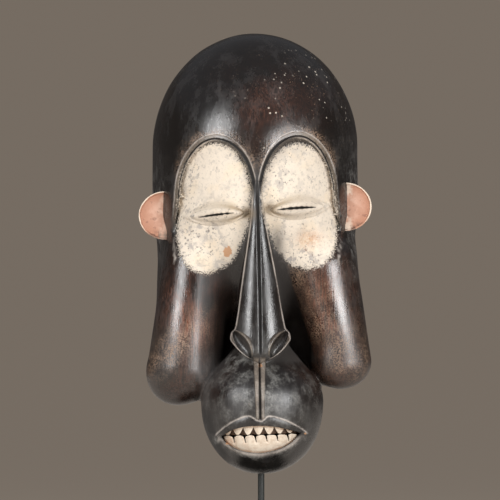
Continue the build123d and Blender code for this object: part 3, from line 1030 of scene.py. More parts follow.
    def marks(self, at: Places) -> dict[str, Array]:
        """Where each colour of the finish lies.

        Args:
            at: Places on the mask.

        Returns:
            A value for each place and each mark: distances in millimetres or strengths from 0 to 1.
        """
        front = step(*self.face_depth, at.d)
        floor = np.minimum(*(panel.floor(at) for panel in self.panels))
        hollow = self.hollow(at)
        eyes = self.eye_marks(at)
        parts = (eyes, self.nose_marks(at), self.mouth_marks(at))
        names = ("edge", "residue", "dark")
        cut = {name: np.maximum.reduce([part[name] for part in parts]) for name in names}
        return {
            "kaolin": np.where(at.d > 55.0, -floor, -20.0),
            "raw": step(1.6, 0.4, hollow),
            # edge holds pale worn edges and painted highlight lines; dark holds painted shade in grooves,
            # pits and slits; the eye creases' mark holds painted shade.
            "edge": np.clip(cut["edge"] * front, 0.0, 1.0),
            "residue": np.clip(cut["residue"], 0.0, 1.0),
            "dark": np.clip(cut["dark"], 0.0, 1.0) * front,
            "stain": eyes["stain"] * front,
            "ochre": np.clip(spots(at, self.SPOTS["ochre"]), 0.0, 1.0),
            "tan": spots(at, self.SPOTS["tan"]),
            **self.wear_marks(at, hollow, eyes["halo"]),
        }



class Row(Enum):
    """Which row of teeth."""

    UPPER = "upper_teeth"
    LOWER = "lower_teeth"


@dataclass(frozen=True)
class TeethForm:
    """A strip of filed teeth let into the mouth from behind: notched above, slit below."""

    row: Row
    muzzle: Muzzle
    mouth: Mouth
    setback: float = 3.2
    thickness: float = 5.8
    cut_depth: float = 3.6
    filed_back: float = 0.9
    edge_round: float = 0.5
    bite_middle: float = 36.3
    bite_tilt: float = 0.035
    first_notch: float = -25.9
    notch_pitch: float = 9.4
    notch_height: float = 6.9
    notch_half_width: float = 3.9
    first_slit: float = -25.4
    slit_pitch: float = 9.75
    slit_length: float = 6.8
    slit_lean: float = 0.22

    def bite(self, x: Array) -> Array:
        """Height of the line where the two rows meet."""
        return self.bite_middle + self.bite_tilt * x + 0.25 * np.sin(x * 0.55)

    def beside(self, x: Array, first: float, pitch: float) -> Array:
        """Distance to the nearest gap between two teeth."""
        share = (x - first) / pitch
        return np.abs(share - np.round(share)) * pitch

    def skin(self, at: Places) -> Array:
        """Signed distance of the muzzle's skin, drawn in to the front of the teeth."""
        return self.muzzle.gap(at) + self.setback

    def notched(self, at: Places, above: Array) -> tuple[Array, Array, Array]:
        """The upper row's parts: teeth that are filed to points.

        Args:
            at: Places on the mask.
            above: Distance above the line of the bite.

        Returns:
            The signed distance of the cuts, how far each tooth's middle is filed back, and the row's own end.
        """
        beside = self.beside(at.x, self.first_notch, self.notch_pitch)
        slant = self.notch_height / self.notch_half_width
        bowed = slant * beside + 0.9 * np.sin(np.pi * np.clip(beside / self.notch_half_width, 0.0, 1.0))
        cut = (above - self.notch_height + bowed) / math.hypot(1.0, slant)
        return cut, self.filed_back * bell(beside, 2.2), 0.1 - above

    def slit(self, at: Places, above: Array, skin: Array) -> tuple[Array, Array, Array]:
        """The lower row's parts: short slits between teeth that lean a little.

        Args:
            at: Places on the mask.
            above: Distance above the line of the bite.
            skin: Signed distance of the row's front.

        Returns:
            The signed distance of the cuts, how far the row is filed back beside them, and the row's own end.
        """
        beside = self.beside(at.x + self.slit_lean * above, self.first_slit, self.slit_pitch)
        width = 0.35 + 0.55 * np.clip(1.0 + above / self.slit_length, 0.0, 1.0)
        cut = np.maximum(beside - width, -above - self.slit_length)
        crown = self.filed_back * bell(beside, 1.8) * step(-9.0, -6.0, above)
        top = above + 0.5 + 1.3 * bell(beside, 1.9)
        end = np.minimum(np.maximum(top, -0.1 - self.cut_depth - skin), 8.0)
        return cut, crown, np.maximum(end, above + 0.1)

    def gap(self, at: Places) -> Array:
        """Signed distance of the row of teeth.

        Args:
            at: Places on the mask.

        Returns:
            Signed distance, negative inside.
        """
        skin = self.skin(at)
        above = at.h - self.bite(at.x)
        upper = self.row is Row.UPPER
        cut, crown, end = self.notched(at, above) if upper else self.slit(at, above, skin)
        body = np.maximum(skin + crown, -(skin + self.thickness))
        body = smooth_overlap(body, end, self.edge_round)
        body = smooth_overlap(body, -np.maximum(cut, -skin - self.cut_depth), self.edge_round)
        return np.maximum(body, self.mouth.opening_gap(at) - 0.3)

    def marks(self, at: Places) -> dict[str, Array]:
        """Where the roots of the teeth are stained, and where painted shade darkens the cuts between them.

        Args:
            at: Places on the mask.

        Returns:
            Strengths from 0 to 1.
        """
        strength = 0.5 if self.row is Row.UPPER else 0.9
        root = strength * step(-2.4, -0.4, self.mouth.opening_gap(at))
        root = root + 0.6 * blob(at, (-29.0, 30.0), (7.0, 4.0))
        # The cut mark paints shade into the cuts, deeper than the row's front.
        return {"root": np.clip(root, 0.0, 1.0), "cut": step(1.3, 2.6, -self.skin(at))}


def cast(form: Form, places: Array) -> Array:
    """Measures a form at many places, a share at a time.

    Args:
        form: The form's signed distance.
        places: One row for each place: across, depth and height.

    Returns:
        The signed distance at each place.
    """
    share = 65536
    starts = range(0, len(places), share)
    with ThreadPoolExecutor(4) as pool:
        parts = pool.map(lambda start: form(Places(*places[start : start + share].T.copy())), starts)
        return np.concatenate([part.astype(np.float32) for part in parts])


def slope(form: Form, places: Array, reach: float = 0.25) -> Array:
    """Direction in which a form's distance grows fastest, at many places.

    Args:
        form: The form's signed distance.
        places: One row for each place: across, depth and height.
        reach: How far each side of a place the distance is measured.

    Returns:
        One row for each place, of length about 1.
    """
    rows = []
    for axis in range(3):
        shift = np.zeros(3, np.float32)
        shift[axis] = reach
        rows.append((cast(form, places + shift) - cast(form, places - shift)) / (2.0 * reach))
    return np.stack(rows, axis=1)


def settle(form: Form, places: Array, turns: int) -> Array:
    """Moves places onto the surface of a form.

    Args:
        form: The form's signed distance.
        places: One row for each place: across, depth and height.
        turns: How many times each place is moved.

    Returns:
        The places, moved.
    """
    for _ in range(turns):
        way = slope(form, places)
        size = np.maximum((way * way).sum(axis=1), 0.2)
        travel = np.clip(cast(form, places) / size, -0.8, 0.8)
        places = places - way * travel[:, None]
    return places


def carve(form: Form, low: Point, high: Point, cell: float, block: int = 5) -> tuple[Array, Array]:
    """Cuts a form's surface out of a box of small cells.

    Args:
        form: The form's signed distance.
        low: Lowest corner of the box: across, depth and height.
        high: Highest corner.
        cell: Size of a cell.
        block: Cells along the side of a block, the unit in which empty space is passed over.

    Returns:
        The corners of the surface and its four-sided faces.
    """
    stride = cell * block
    counts = [int(math.ceil((b - a) / stride)) for a, b in zip(low, high)]
    centres = [a + stride * (np.arange(n) + 0.5) - 0.5 * cell for a, n in zip(low, counts)]
    lattice = np.stack(np.meshgrid(*centres, indexing="ij"), axis=-1).reshape(-1, 3).astype(np.float32)
    coarse = cast(form, lattice).reshape(counts)
    edge = 3.0 * cell
    solid = np.where(coarse < 0.0, -edge, edge).astype(np.float32)
    for axis in range(3):
        solid = np.repeat(solid, block, axis=axis)
    near = np.argwhere(np.abs(coarse) < stride * 1.35)
    inner = np.stack(np.meshgrid(*[np.arange(block)] * 3, indexing="ij"), axis=-1).reshape(-1, 3)
    index = (near[:, None, :] * block + inner[None, :, :]).reshape(-1, 3)
    places = (index * cell + np.array(low)).astype(np.float32)
    values = np.clip(cast(form, places), -edge, edge)
    solid[index[:, 0], index[:, 1], index[:, 2]] = values
    grid = openvdb.FloatGrid(edge)
    grid.copyFromArray(solid)
    corners, _, faces = grid.convertToPolygons(isovalue=0.0, adaptivity=0.0)
    return (corners * cell + np.array(low)).astype(np.float32), faces[:, ::-1]


@dataclass(frozen=True)
class Workbench:
    """Turns carved surfaces into Blender pieces that lie where the CAD frame says: sizes in metres."""

    chin: float
    fine_edge: float = 0.001
    crisp_angle: float = math.radians(32.0)

    def to_frame(self, places: Array) -> Array:
        """Frame coordinates in metres of places given as across, depth and height in millimetres."""
        x, d, h = places.T * MILLIMETRE
        return np.stack([x, -d, h + self.chin], axis=1)

    def from_frame(self, points: Array) -> Array:
        """Places as across, depth and height in millimetres of frame coordinates in metres."""
        x, y, z = points.T
        return (np.stack([x, -y, z - self.chin], axis=1) / MILLIMETRE).astype(np.float32)

    def piece(
        self,
        name: str,
        form: Form,
        box: tuple[Point, Point],
        cell: float,
        triangles: int,
        detail: Form | None = None,
    ) -> bpy.types.Object:
        """Carves a form, thins its faces to a number of triangles and sets its surface directions.

        Args:
            name: The piece's name.
            form: Its signed distance.
            box: Lowest and highest corner of the space it lies in.
            cell: Size of the cells that it is first cut in.
            triangles: About how many triangles it may keep before its fine carving is refined.
            detail: Where it needs closer corners than that, if anywhere.

        Returns:
            The finished piece.
        """
        corners, faces = carve(form, *box, cell)
        piece = self.rough_out(name, settle(form, corners, 2), faces)
        thin = piece.modifiers.new("thin", "DECIMATE")
        thin.ratio = min(1.0, triangles / (2.0 * len(faces)))
        thin.use_collapse_triangulate = True
        bpy.ops.object.modifier_apply(modifier=thin.name)
        for _ in range(2 if detail else 0):
            self.refine(piece, form, detail)
        self.drop_doubles(piece)
        self.finish_surface(piece, form)
        log.info("%s: %d faces cut, %d kept", name, len(faces), len(piece.data.polygons))
        return piece

    def rough_out(self, name: str, corners: Array, faces: Array) -> bpy.types.Object:
        """Makes a piece of corners and four-sided faces, and makes it the only one that is selected.

        Args:
            name: The piece's name.
            corners: One row for each corner: across, depth and height.
            faces: One row for each face: its corners' numbers.

        Returns:
            The piece.
        """
        mesh = bpy.data.meshes.new(name)
        mesh.vertices.add(len(corners))
        self.place_corners(mesh, corners)
        mesh.loops.add(faces.size)
        mesh.loops.foreach_set("vertex_index", faces.astype(np.int32).ravel())
        mesh.polygons.add(len(faces))
        mesh.polygons.foreach_set("loop_start", np.arange(0, faces.size, 4, dtype=np.int32))
        mesh.update(calc_edges=True)
        piece = bpy.data.objects.new(name, mesh)
        bpy.context.scene.collection.objects.link(piece)
        bpy.ops.object.select_all(action="DESELECT")
        piece.select_set(True)
        bpy.context.view_layer.objects.active = piece
        return piece

    def place_corners(self, mesh: bpy.types.Mesh, places: Array) -> None:
        """Moves a mesh's corners to places given as across, depth and height."""
        mesh.vertices.foreach_set("co", self.to_frame(places).astype(np.float32).ravel())

    def refine(self, piece: bpy.types.Object, form: Form, detail: Form) -> None:
        """Halves a piece's longer edges where its carving is fine, and lays the new corners on the form.

        Args:
            piece: The piece.
            form: The signed distance it is carved from.
            detail: Where its carving is fine.
        """
        fine = detail(Places(*self.places(piece).T))
        shape = bmesh.new()
        shape.from_mesh(piece.data)
        edges = [
            edge
            for edge in shape.edges
            if any(fine[vert.index] for vert in edge.verts) and edge.calc_length() > self.fine_edge
        ]
        bmesh.ops.subdivide_edges(shape, edges=edges, cuts=1)
        bmesh.ops.triangulate(shape, faces=[face for face in shape.faces if len(face.verts) > 3])
        shape.to_mesh(piece.data)
        shape.free()
        self.place_corners(piece.data, settle(form, self.places(piece), 1))

    def drop_doubles(self, piece: bpy.types.Object) -> None:
        """Takes out each pair of faces on the same corners, a fold that encloses nothing.

        Args:
            piece: The piece.
        """
        shape = bmesh.new()
        shape.from_mesh(piece.data)
        shape.verts.index_update()
        twins: dict[frozenset[int], list[bmesh.types.BMFace]] = {}
        for face in shape.faces:
            twins.setdefault(frozenset(vert.index for vert in face.verts), []).append(face)
        doubled = [face for faces in twins.values() if len(faces) > 1 for face in faces]
        bmesh.ops.delete(shape, geom=doubled, context="FACES")
        shape.to_mesh(piece.data)
        shape.free()
        log.info("%s: %d doubled faces taken out", piece.name, len(doubled))

    def places(self, piece: bpy.types.Object) -> Array:
        """Where a piece's corners are: across, depth and height in millimetres.

        Args:
            piece: The piece.

        Returns:
            One row for each corner.
        """
        points = np.empty(len(piece.data.vertices) * 3, np.float32)
        piece.data.vertices.foreach_get("co", points)
        return self.from_frame(points.reshape(-1, 3))

    def finish_surface(self, piece: bpy.types.Object, form: Form) -> None:
        """Lays a piece's corners on the form's surface and gives its faces the form's own directions.

        Args:
            piece: The piece.
            form: The signed distance it is carved from.
        """
        mesh = piece.data
        places = settle(form, self.places(piece), 2)
        self.place_corners(mesh, places)
        mesh.update()
        way = slope(form, places)
        way = np.stack([way[:, 0], -way[:, 1], way[:, 2]], axis=1)
        way /= np.maximum(np.linalg.norm(way, axis=1, keepdims=True), 1e-6)
        corner = np.empty(len(mesh.loops), np.int32)
        mesh.loops.foreach_get("vertex_index", corner)
        normal = np.empty(len(mesh.polygons) * 3, np.float32)
        mesh.polygons.foreach_get("normal", normal)
        total = np.empty(len(mesh.polygons), np.int32)
        mesh.polygons.foreach_get("loop_total", total)
        flat = np.repeat(normal.reshape(-1, 3), total, axis=0)
        smooth = way[corner]
        crisp = (flat * smooth).sum(axis=1) < math.cos(self.crisp_angle)
        smooth[crisp] = flat[crisp]
        mesh.polygons.foreach_set("use_smooth", np.ones(len(mesh.polygons), bool))
        mesh.normals_split_custom_set(smooth.tolist())

    def mark(self, piece: bpy.types.Object, marks: Callable[[Places], dict[str, Array]]) -> None:
        """Stores marks on a piece's corners for its finish to read.

        Args:
            piece: The piece.
            marks: Gives each mark's values at many places.
        """
        for name, values in marks(Places(*self.places(piece).T)).items():
            attribute = piece.data.attributes.new(name, "FLOAT", "POINT")
            attribute.data.foreach_set("value", np.ascontiguousarray(values, dtype=np.float32))


# Finishes


def plug(socket: bpy.types.NodeSocket, value: object) -> None:
    """Links a pattern to a node's input, or sets the input's own value.

    Args:
        socket: The node's input.
        value: The pattern, number, place or colour.
    """
    if isinstance(value, Pattern):
        socket.id_data.links.new(value.socket, socket)
    elif isinstance(value, tuple) and socket.type == "RGBA":
        socket.default_value = (*value, 1.0)
    else:
        socket.default_value = value


def add_node(tree: bpy.types.NodeTree, kind: str, inputs: dict, **settings: object) -> bpy.types.Node:
    """Adds a node to a material.

    Args:
        tree: The material's nodes.
        kind: Blender's name of the node's type.
        inputs: A value or a pattern for each named or numbered input.
        settings: Properties of the node itself.

    Returns:
        The node.
    """
    node = tree.nodes.new(kind)
    for key, value in settings.items():
        setattr(node, key, value)
    for key, value in inputs.items():
        plug(node.inputs[key], value)
    return node


class Pattern:
    """A value or a colour that varies over a piece. Arithmetic with it adds nodes."""

    def __init__(self, socket: bpy.types.NodeSocket) -> None:
        """Holds a node's output."""
        self.socket = socket

    def math(self, operation: str, first: object, second: object) -> Self:
        """Adds a node that does arithmetic on two values."""
        node = add_node(self.socket.id_data, "ShaderNodeMath", {0: first, 1: second}, operation=operation)
        return type(self)(node.outputs[0])

    def __add__(self, other: object) -> Self:
        """The sum."""
        return self.math("ADD", self, other)

    def __sub__(self, other: object) -> Self:
        """The difference."""
        return self.math("SUBTRACT", self, other)

    def __rsub__(self, other: object) -> Self:
        """The difference from a plain number."""
        return self.math("SUBTRACT", other, self)

    def __mul__(self, other: object) -> Self:
        """The product."""
        return self.math("MULTIPLY", self, other)

    def most(self, other: object) -> Self:
        """The greater of the two."""
        return self.math("MAXIMUM", self, other)

    def ramp(self, low: float, high: float, start: float = 0.0, end: float = 1.0) -> Self:
        """Eases from `start` to `end` as the value goes from `low` to `high`.

        Args:
            low: The value that gives `start`.
            high: The value that gives `end`.
            start: What it starts from.
            end: What it ends at.

        Returns:
            The eased pattern.
        """
        inputs = {"Value": self, "From Min": low, "From Max": high, "To Min": start, "To Max": end}
        node = add_node(self.socket.id_data, "ShaderNodeMapRange", inputs, interpolation_type="SMOOTHSTEP")
        return type(self)(node.outputs["Result"])


class Finish:
    """Builds a material, with short calls for the nodes that every finish needs."""

    def __init__(self, name: str) -> None:
        """Starts a material with a Principled shader.

        Args:
            name: The material's name.
        """
        self.material = bpy.data.materials.new(name)
        self.material.use_nodes = True
        self.tree = self.material.node_tree
        self.shader = self.tree.nodes["Principled BSDF"]
        self.place = Pattern(self.tree.nodes.new("ShaderNodeTexCoord").outputs["Object"])

    def pattern(self, kind: str, inputs: dict, output: str | int = 0, **settings: object) -> Pattern:
        """Adds a node.

        Args:
            kind: Blender's name of the node's type.
            inputs: A value or a pattern for each named or numbered input.
            output: Which of its outputs is wanted.
            settings: Properties of the node itself.

        Returns:
            The output that is wanted.
        """
        return Pattern(add_node(self.tree, kind, inputs, **settings).outputs[output])

    def noise(
        self, scale: float, detail: float = 3.0, rough: float = 0.55, stretch: Point = (1.0, 1.0, 1.0)
    ) -> Pattern:
        """Cloudy pattern from 0 to 1.

        Args:
            scale: Patches to a metre.
            detail: How many finer layers lie on it.
            rough: How strong the finer layers are.
            stretch: How much closer the patches lie along each axis.

        Returns:
            The pattern.
        """
        at = self.pattern("ShaderNodeMapping", {"Vector": self.place, "Scale": stretch})
        inputs = {"Vector": at, "Scale": scale, "Detail": detail, "Roughness": rough}
        return self.pattern("ShaderNodeTexNoise", inputs, "Fac")

    def along(self, place: Pattern, axis: str) -> Pattern:
        """How far along one axis a place is."""
        return self.pattern("ShaderNodeSeparateXYZ", {0: place}, axis)

    def mark(self, name: str) -> Pattern:
        """A mark stored on the piece."""
        return self.pattern("ShaderNodeAttribute", {}, "Fac", attribute_name=name)

    def mix(self, share: object, a: object, b: object) -> Pattern:
        """Goes from colour `a` to colour `b`."""
        return self.pattern("ShaderNodeMix", {"Factor": share, 6: a, 7: b}, 2, data_type="RGBA")

    def blend(self, share: object, a: object, b: object) -> Pattern:
        """Goes from value `a` to value `b`."""
        return self.pattern("ShaderNodeMix", {"Factor": share, 2: a, 3: b}, 0, data_type="FLOAT")

    def bump(self, height: Pattern, distance: float, strength: float) -> Pattern:
        """Raises the surface by a height pattern, `distance` metres for a height of 1."""
        inputs = {"Height": height, "Distance": distance, "Strength": strength}
        return self.pattern("ShaderNodeBump", inputs, "Normal")

    def done(self, **sockets: object) -> bpy.types.Material:
        """Sets the shader's sockets, whose names are given with _ for a space.

        Args:
            sockets: A value or a pattern for each socket.

        Returns:
            The material.
        """
        for key, value in sockets.items():
            plug(self.shader.inputs[key.replace("_", " ")], value)
        return self.material


class WoodPatterns(NamedTuple):
    """The uneven patterns that the carved wood's finish follows, from fibres to the finest grain."""

    fibre: Pattern
    smear: Pattern
    cloud: Pattern
    patch: Pattern
    fine: Pattern
    speck: Pattern


@dataclass(frozen=True)
class CarvedWood:
    """Old black patina over brown wood, with kaolin in the eye panels and dust in the carving, painted shade
    in its creases, grooves and slits, painted shadow beside the nose and painted highlight lines on its brows
    and lips.
    """

    black: Colour = (0.0085, 0.0070, 0.0062)
    smoke: Colour = (0.056, 0.052, 0.051)
    brown: Colour = (0.23, 0.085, 0.048)
    bare: Colour = (0.36, 0.235, 0.155)
    tan: Colour = (0.36, 0.285, 0.21)
    kaolin: Colour = (0.73, 0.64, 0.53)
    kaolin_grey: Colour = (0.37, 0.335, 0.31)
    kaolin_warm: Colour = (0.76, 0.61, 0.42)
    kaolin_thin: Colour = (0.40, 0.36, 0.31)
    pit: Colour = (0.17, 0.145, 0.13)
    ochre: Colour = (0.52, 0.27, 0.13)
    # Pale of the worn edges, and of the painted highlight lines on the brows and the upper lip.
    worn_edge_and_highlight: Colour = (0.64, 0.57, 0.51)
    # Brown of the painted shade in the eye's creases.
    crease_shade_umber: Colour = (0.24, 0.165, 0.085)
    dust: Colour = (0.30, 0.295, 0.275)
    drop: Colour = (0.70, 0.62, 0.52)
    # Near-black for the painted shadow beside the nose.
    shadow_and_drip_dark: Colour = (0.018, 0.013, 0.010)
    # Near-black of the painted shade in grooves, pits and slits.
    crevice_shade_black: Colour = (0.006, 0.0045, 0.004)
    inside: Colour = (0.145, 0.078, 0.042)
    inside_fibre: Colour = (0.085, 0.043, 0.024)
    matt_roughness: float = 0.85

    def material(self) -> bpy.types.Material:
        """Builds the finish.

        Returns:
            The material.
        """
        n = Finish("dark_wood")
        p = WoodPatterns(
            fibre=n.noise(62.0, 4.0, 0.65, (13.0, 13.0, 0.8)),
            smear=n.noise(30.0, 6.0, 0.72, (1.6, 1.6, 0.7)),
            cloud=n.noise(22.0, 4.0, 0.6),
            patch=n.noise(75.0, 5.0, 0.7),
            fine=n.noise(420.0, 4.0, 0.75),
            speck=n.noise(800.0, 2.0, 0.6),
        )
        coat, matt = self.patina(n, p)
        residue = n.mark("residue") * p.fine.ramp(0.28, 0.60, 0.30, 1.0) * p.cloud.ramp(0.36, 0.58, 0.45, 1.0)
        coat = n.mix(residue * 0.92, coat, self.tan)
        # Pale worn edges and painted highlight lines along the brows and the upper lip.
        coat = n.mix(n.mark("edge") * p.patch.ramp(0.34, 0.56, 0.35, 1.0), coat, self.worn_edge_and_highlight)
        depth = n.mark("kaolin") + (p.speck - 0.5) * 12.0 + (p.patch - 0.5) * 7.0
        cover = depth.ramp(-1.5, 1.7)
        mottle = n.noise(165.0, 3.0, 0.6).ramp(0.52, 0.62) * n.noise(55.0, 3.0).ramp(0.38, 0.54, 0.25, 1.0)
        colour = self.stained(n, p, n.mix(cover, coat, self.chalk(n, p, mottle)))
        bare = cover.most(n.mark("raw")).most(residue * 0.5).most(n.mark("dark")).most(n.mark("stain"))
        rough = n.blend(bare, p.smear.ramp(0.35, 0.65, 0.19, 0.29) + matt, self.matt_roughness)
        height = p.fibre * cover.ramp(0.0, 1.0, 0.42, 0.2) + p.fine * cover.ramp(0.0, 1.0, 0.10, 0.5)
        height = height + p.patch * 0.22 + cover * (0.8 - mottle * 0.5)
        normal = n.bump(height, 0.00042, 0.8)
        return n.done(Base_Color=colour, Roughness=rough, Normal=normal, Specular_IOR_Level=0.5, IOR=1.75)

    def patina(self, n: Finish, p: WoodPatterns) -> tuple[Pattern, Pattern]:
        """Builds the blackened wood, smoked, worn through to brown, rubbed and dusty, with a painted
        highlight on the right cheek's inner flank.

        Args:
            n: The material that is being built.
            p: Its patterns.

        Returns:
            The colour, and how much rougher than bare polish it is.
        """
        haze = p.smear.ramp(0.46, 0.72) * p.fibre.ramp(0.34, 0.64, 0.2, 1.0)
        coat = n.mix(haze * 0.6, self.black, self.smoke)
        worn = n.mark("worn") * p.cloud.ramp(0.30, 0.62) * p.fibre.ramp(0.34, 0.66, 0.1, 1.0)
        coat = n.mix(worn, coat, self.brown)
        # The rubbed mark also carries the painted highlight on the right cheek's inner flank.
        rubbed = n.mark("rubbed") * p.speck.ramp(0.42, 0.58) * p.patch.ramp(0.36, 0.62, 0.25, 1.0)
        coat = n.mix(rubbed * 0.85, coat, self.bare)
        dusty = n.mark("dust") * p.patch.ramp(0.44, 0.66)
        coat = n.mix(dusty * p.fine.ramp(0.34, 0.66, 0.2, 0.85), coat, self.dust)
        chips = p.speck.ramp(0.64, 0.73) * p.patch.ramp(0.46, 0.60) * n.mark("flecks")
        coat = n.mix(chips * 0.9, coat, self.bare)
        inputs = {"Vector": n.place, "Scale": 190.0, "Randomness": 1.0}
        cells = n.pattern("ShaderNodeTexVoronoi", inputs, "Distance")
        drops = cells.ramp(0.21, 0.14) * n.mark("flecks") * n.noise(48.0, 2.0).ramp(0.54, 0.60)
        coat = n.mix(drops * n.mark("flecks").ramp(0.2, 0.5) * 0.85, coat, self.drop)
        return coat, (dusty + rubbed * 1.6 + haze) * 0.13 + n.mark("matt") * 0.42

    def chalk(self, n: Finish, p: WoodPatterns, mottle: Pattern) -> Pattern:
        """Builds the kaolin: cream, mottled with grey and pitted with dark specks.

        Args:
            n: The material that is being built.
            p: Its patterns.
            mottle: Small grey flecks.

        Returns:
            The colour.
        """
        lower = n.along(n.place, "Z").ramp(0.345, 0.300, 0.7, 1.0)
        grey = mottle * p.cloud.ramp(0.38, 0.62, 0.35, 1.0) * lower
        thin = n.noise(34.0, 5.0, 0.68).ramp(0.50, 0.66) * lower
        chalk = n.mix(thin * 0.4, self.kaolin, self.kaolin_grey)
        chalk = n.mix(grey * 0.9, chalk, self.kaolin_grey)
        chalk = n.mix(n.noise(46.0, 3.0, 0.6).ramp(0.52, 0.68) * 0.35, chalk, self.kaolin_warm)
        pits = n.noise(430.0, 3.0, 0.6).ramp(0.575, 0.64) * p.cloud.ramp(0.42, 0.58, 0.3, 1.0)
        chalk = n.mix(pits * 0.8, chalk, self.pit)
        return n.mix(p.fine.ramp(0.30, 0.55, 0.16, 0.0), chalk, self.kaolin_thin)

    def stained(self, n: Finish, p: WoodPatterns, colour: Pattern) -> Pattern:
        """Adds the ochre and tan patches, painted shade brown in the eye's creases, painted shadow near-black
        beside the nose, painted shade black in the grooves, pits and slits, and the raw inside.

        Args:
            n: The material that is being built.
            p: Its patterns.
            colour: The colour before them.

        Returns:
            The colour with them.
        """
        ochre = n.mark("ochre") + (p.patch - 0.5) * 1.6
        colour = n.mix(ochre.ramp(0.45, 0.62, 0.0, 0.92), colour, self.ochre)
        tan = n.mark("tan") * p.patch.ramp(0.36, 0.56, 0.45, 1.0) * p.speck.ramp(0.36, 0.58, 0.3, 0.95)
        colour = n.mix(tan, colour, self.ochre)
        # Painted shade and shadow: brown in the eye's creases, near-black beside the nose and black in the
        # grooves, pits and slits.
        for mark, share, shade in (
            ("stain", 0.72, self.crease_shade_umber),
            ("hollowed", 0.9, self.shadow_and_drip_dark),
            ("dark", 0.95, self.crevice_shade_black),
        ):
            colour = n.mix(n.mark(mark) * share, colour, shade)
        inner = n.mix(p.fibre.ramp(0.35, 0.65), self.inside, self.inside_fibre)
        return n.mix(n.mark("raw"), colour, inner)


@dataclass(frozen=True)
class EarStain:
    """Terracotta stain with a painted highlight paler in the middle, darker in drips along the bottom, with a
    bare rim.
    """

    centre: Point
    half_width: float
    half_height: float
    side: Side
    crust: float
    stain: Colour = (0.42, 0.20, 0.125)
    painted_highlight_pale: Colour = (0.66, 0.42, 0.32)
    fleck: Colour = (0.20, 0.09, 0.06)
    bare: Colour = (0.74, 0.62, 0.50)
    # Dark of the drips along the ear's bottom rim.
    shadow_and_drip_dark: Colour = (0.07, 0.04, 0.03)

    def material(self) -> bpy.types.Material:
        """Builds the finish.

        Returns:
            The material.
        """
        n = Finish(f"ear_stain_{self.side.name.lower()}")
        x, _, z = self.centre
        scale = (self.side.value / self.half_width, 0.0, 1.0 / self.half_height)
        at = n.pattern("ShaderNodeVectorMath", {0: n.place, 1: (-x, 0.0, -z)}, operation="ADD")
        at = n.pattern("ShaderNodeVectorMath", {0: at, 1: scale}, operation="MULTIPLY")
        out = n.pattern("ShaderNodeVectorMath", {0: at}, "Value", operation="LENGTH")
        outwards, up = n.along(at, "X"), n.along(at, "Z")
        cloud = n.noise(90.0, 5.0, 0.65)
        fine = n.noise(520.0, 4.0, 0.7)
        # Painted highlight: paler towards the ear's middle.
        middle = out.ramp(0.95, 0.35) * cloud.ramp(0.36, 0.62, 0.35, 1.0)
        colour = n.mix(middle * 0.8, self.stain, self.painted_highlight_pale)
        colour = n.mix(n.noise(260.0, 3.0, 0.6).ramp(0.60, 0.70, 0.0, 0.55), colour, self.fleck)
        # Darker in drips along the ear's bottom rim.
        low = up.ramp(-0.55, -0.85) * n.noise(170.0, 4.0).ramp(0.44, 0.56)
        colour = n.mix(low * 0.75, colour, self.shadow_and_drip_dark)
        rim = (out + (cloud - 0.5) * 0.12).ramp(0.945, 0.965) * up.ramp(-0.8, -0.25, 0.15, 1.0)
        root = outwards + (fine - 0.5) * 0.35
        crust = root.ramp(0.30, 0.16) * cloud.ramp(0.42, 0.56, 0.0, self.crust)
        colour = n.mix(rim.most(crust) * 0.9, colour, self.bare)
        normal = n.bump(fine * 0.6 + cloud, 0.0004, 0.7)
        rough = cloud.ramp(0.3, 0.7, 0.48, 0.68)
        return n.done(Base_Color=colour, Roughness=rough, Normal=normal, Specular_IOR_Level=0.4)


@dataclass(frozen=True)
class ToothWood:
    """Whitened wood, stained at the roots, with painted shade dark in the cuts."""

    pale: Colour = (0.80, 0.69, 0.56)
    shaded: Colour = (0.62, 0.48, 0.36)
    root: Colour = (0.50, 0.29, 0.17)
    # Dark of the painted shade in the cuts.
    cut: Colour = (0.085, 0.043, 0.024)

    def material(self) -> bpy.types.Material:
        """Builds the finish.

        Returns:
            The material.
        """
        n = Finish("pale_wood")
        patch = n.noise(230.0, 4.0, 0.65)
        fine = n.noise(900.0, 3.0, 0.65)
        colour = n.mix(patch.ramp(0.42, 0.68, 0.0, 0.7), self.pale, self.shaded)
        colour = n.mix(n.mark("root") * patch.ramp(0.30, 0.55, 0.35, 0.9), colour, self.root)
        # Painted shade in the cuts.
        colour = n.mix(n.mark("cut") * 0.97, colour, self.cut)
        normal = n.bump(patch + fine * 0.5, 0.0003, 0.6)
        return n.done(Base_Color=colour, Roughness=fine.ramp(0.3, 0.7, 0.42, 0.62), Normal=normal)


@dataclass(frozen=True)
class BlackLacquer:
    """Matt black lacquer on steel, slightly green, with fine dust."""

    lacquer: Colour = (0.0105, 0.0125, 0.0110)
    faded: Colour = (0.026, 0.030, 0.027)
    dust: Colour = (0.075, 0.075, 0.07)

    def material(self) -> bpy.types.Material:
        """Builds the finish.

        Returns:
            The material.
        """
        n = Finish("black_steel")
        cloud = n.noise(40.0, 5.0, 0.65)
        fine = n.noise(1100.0, 3.0, 0.6)
        colour = n.mix(cloud.ramp(0.40, 0.72, 0.0, 0.8), self.lacquer, self.faded)
        colour = n.mix(fine.ramp(0.66, 0.74, 0.0, 0.35), colour, self.dust)
        rough = cloud.ramp(0.3, 0.7, 0.42, 0.58)
        return n.done(Base_Color=colour, Roughness=rough, Normal=n.bump(fine, 0.00008, 0.6))


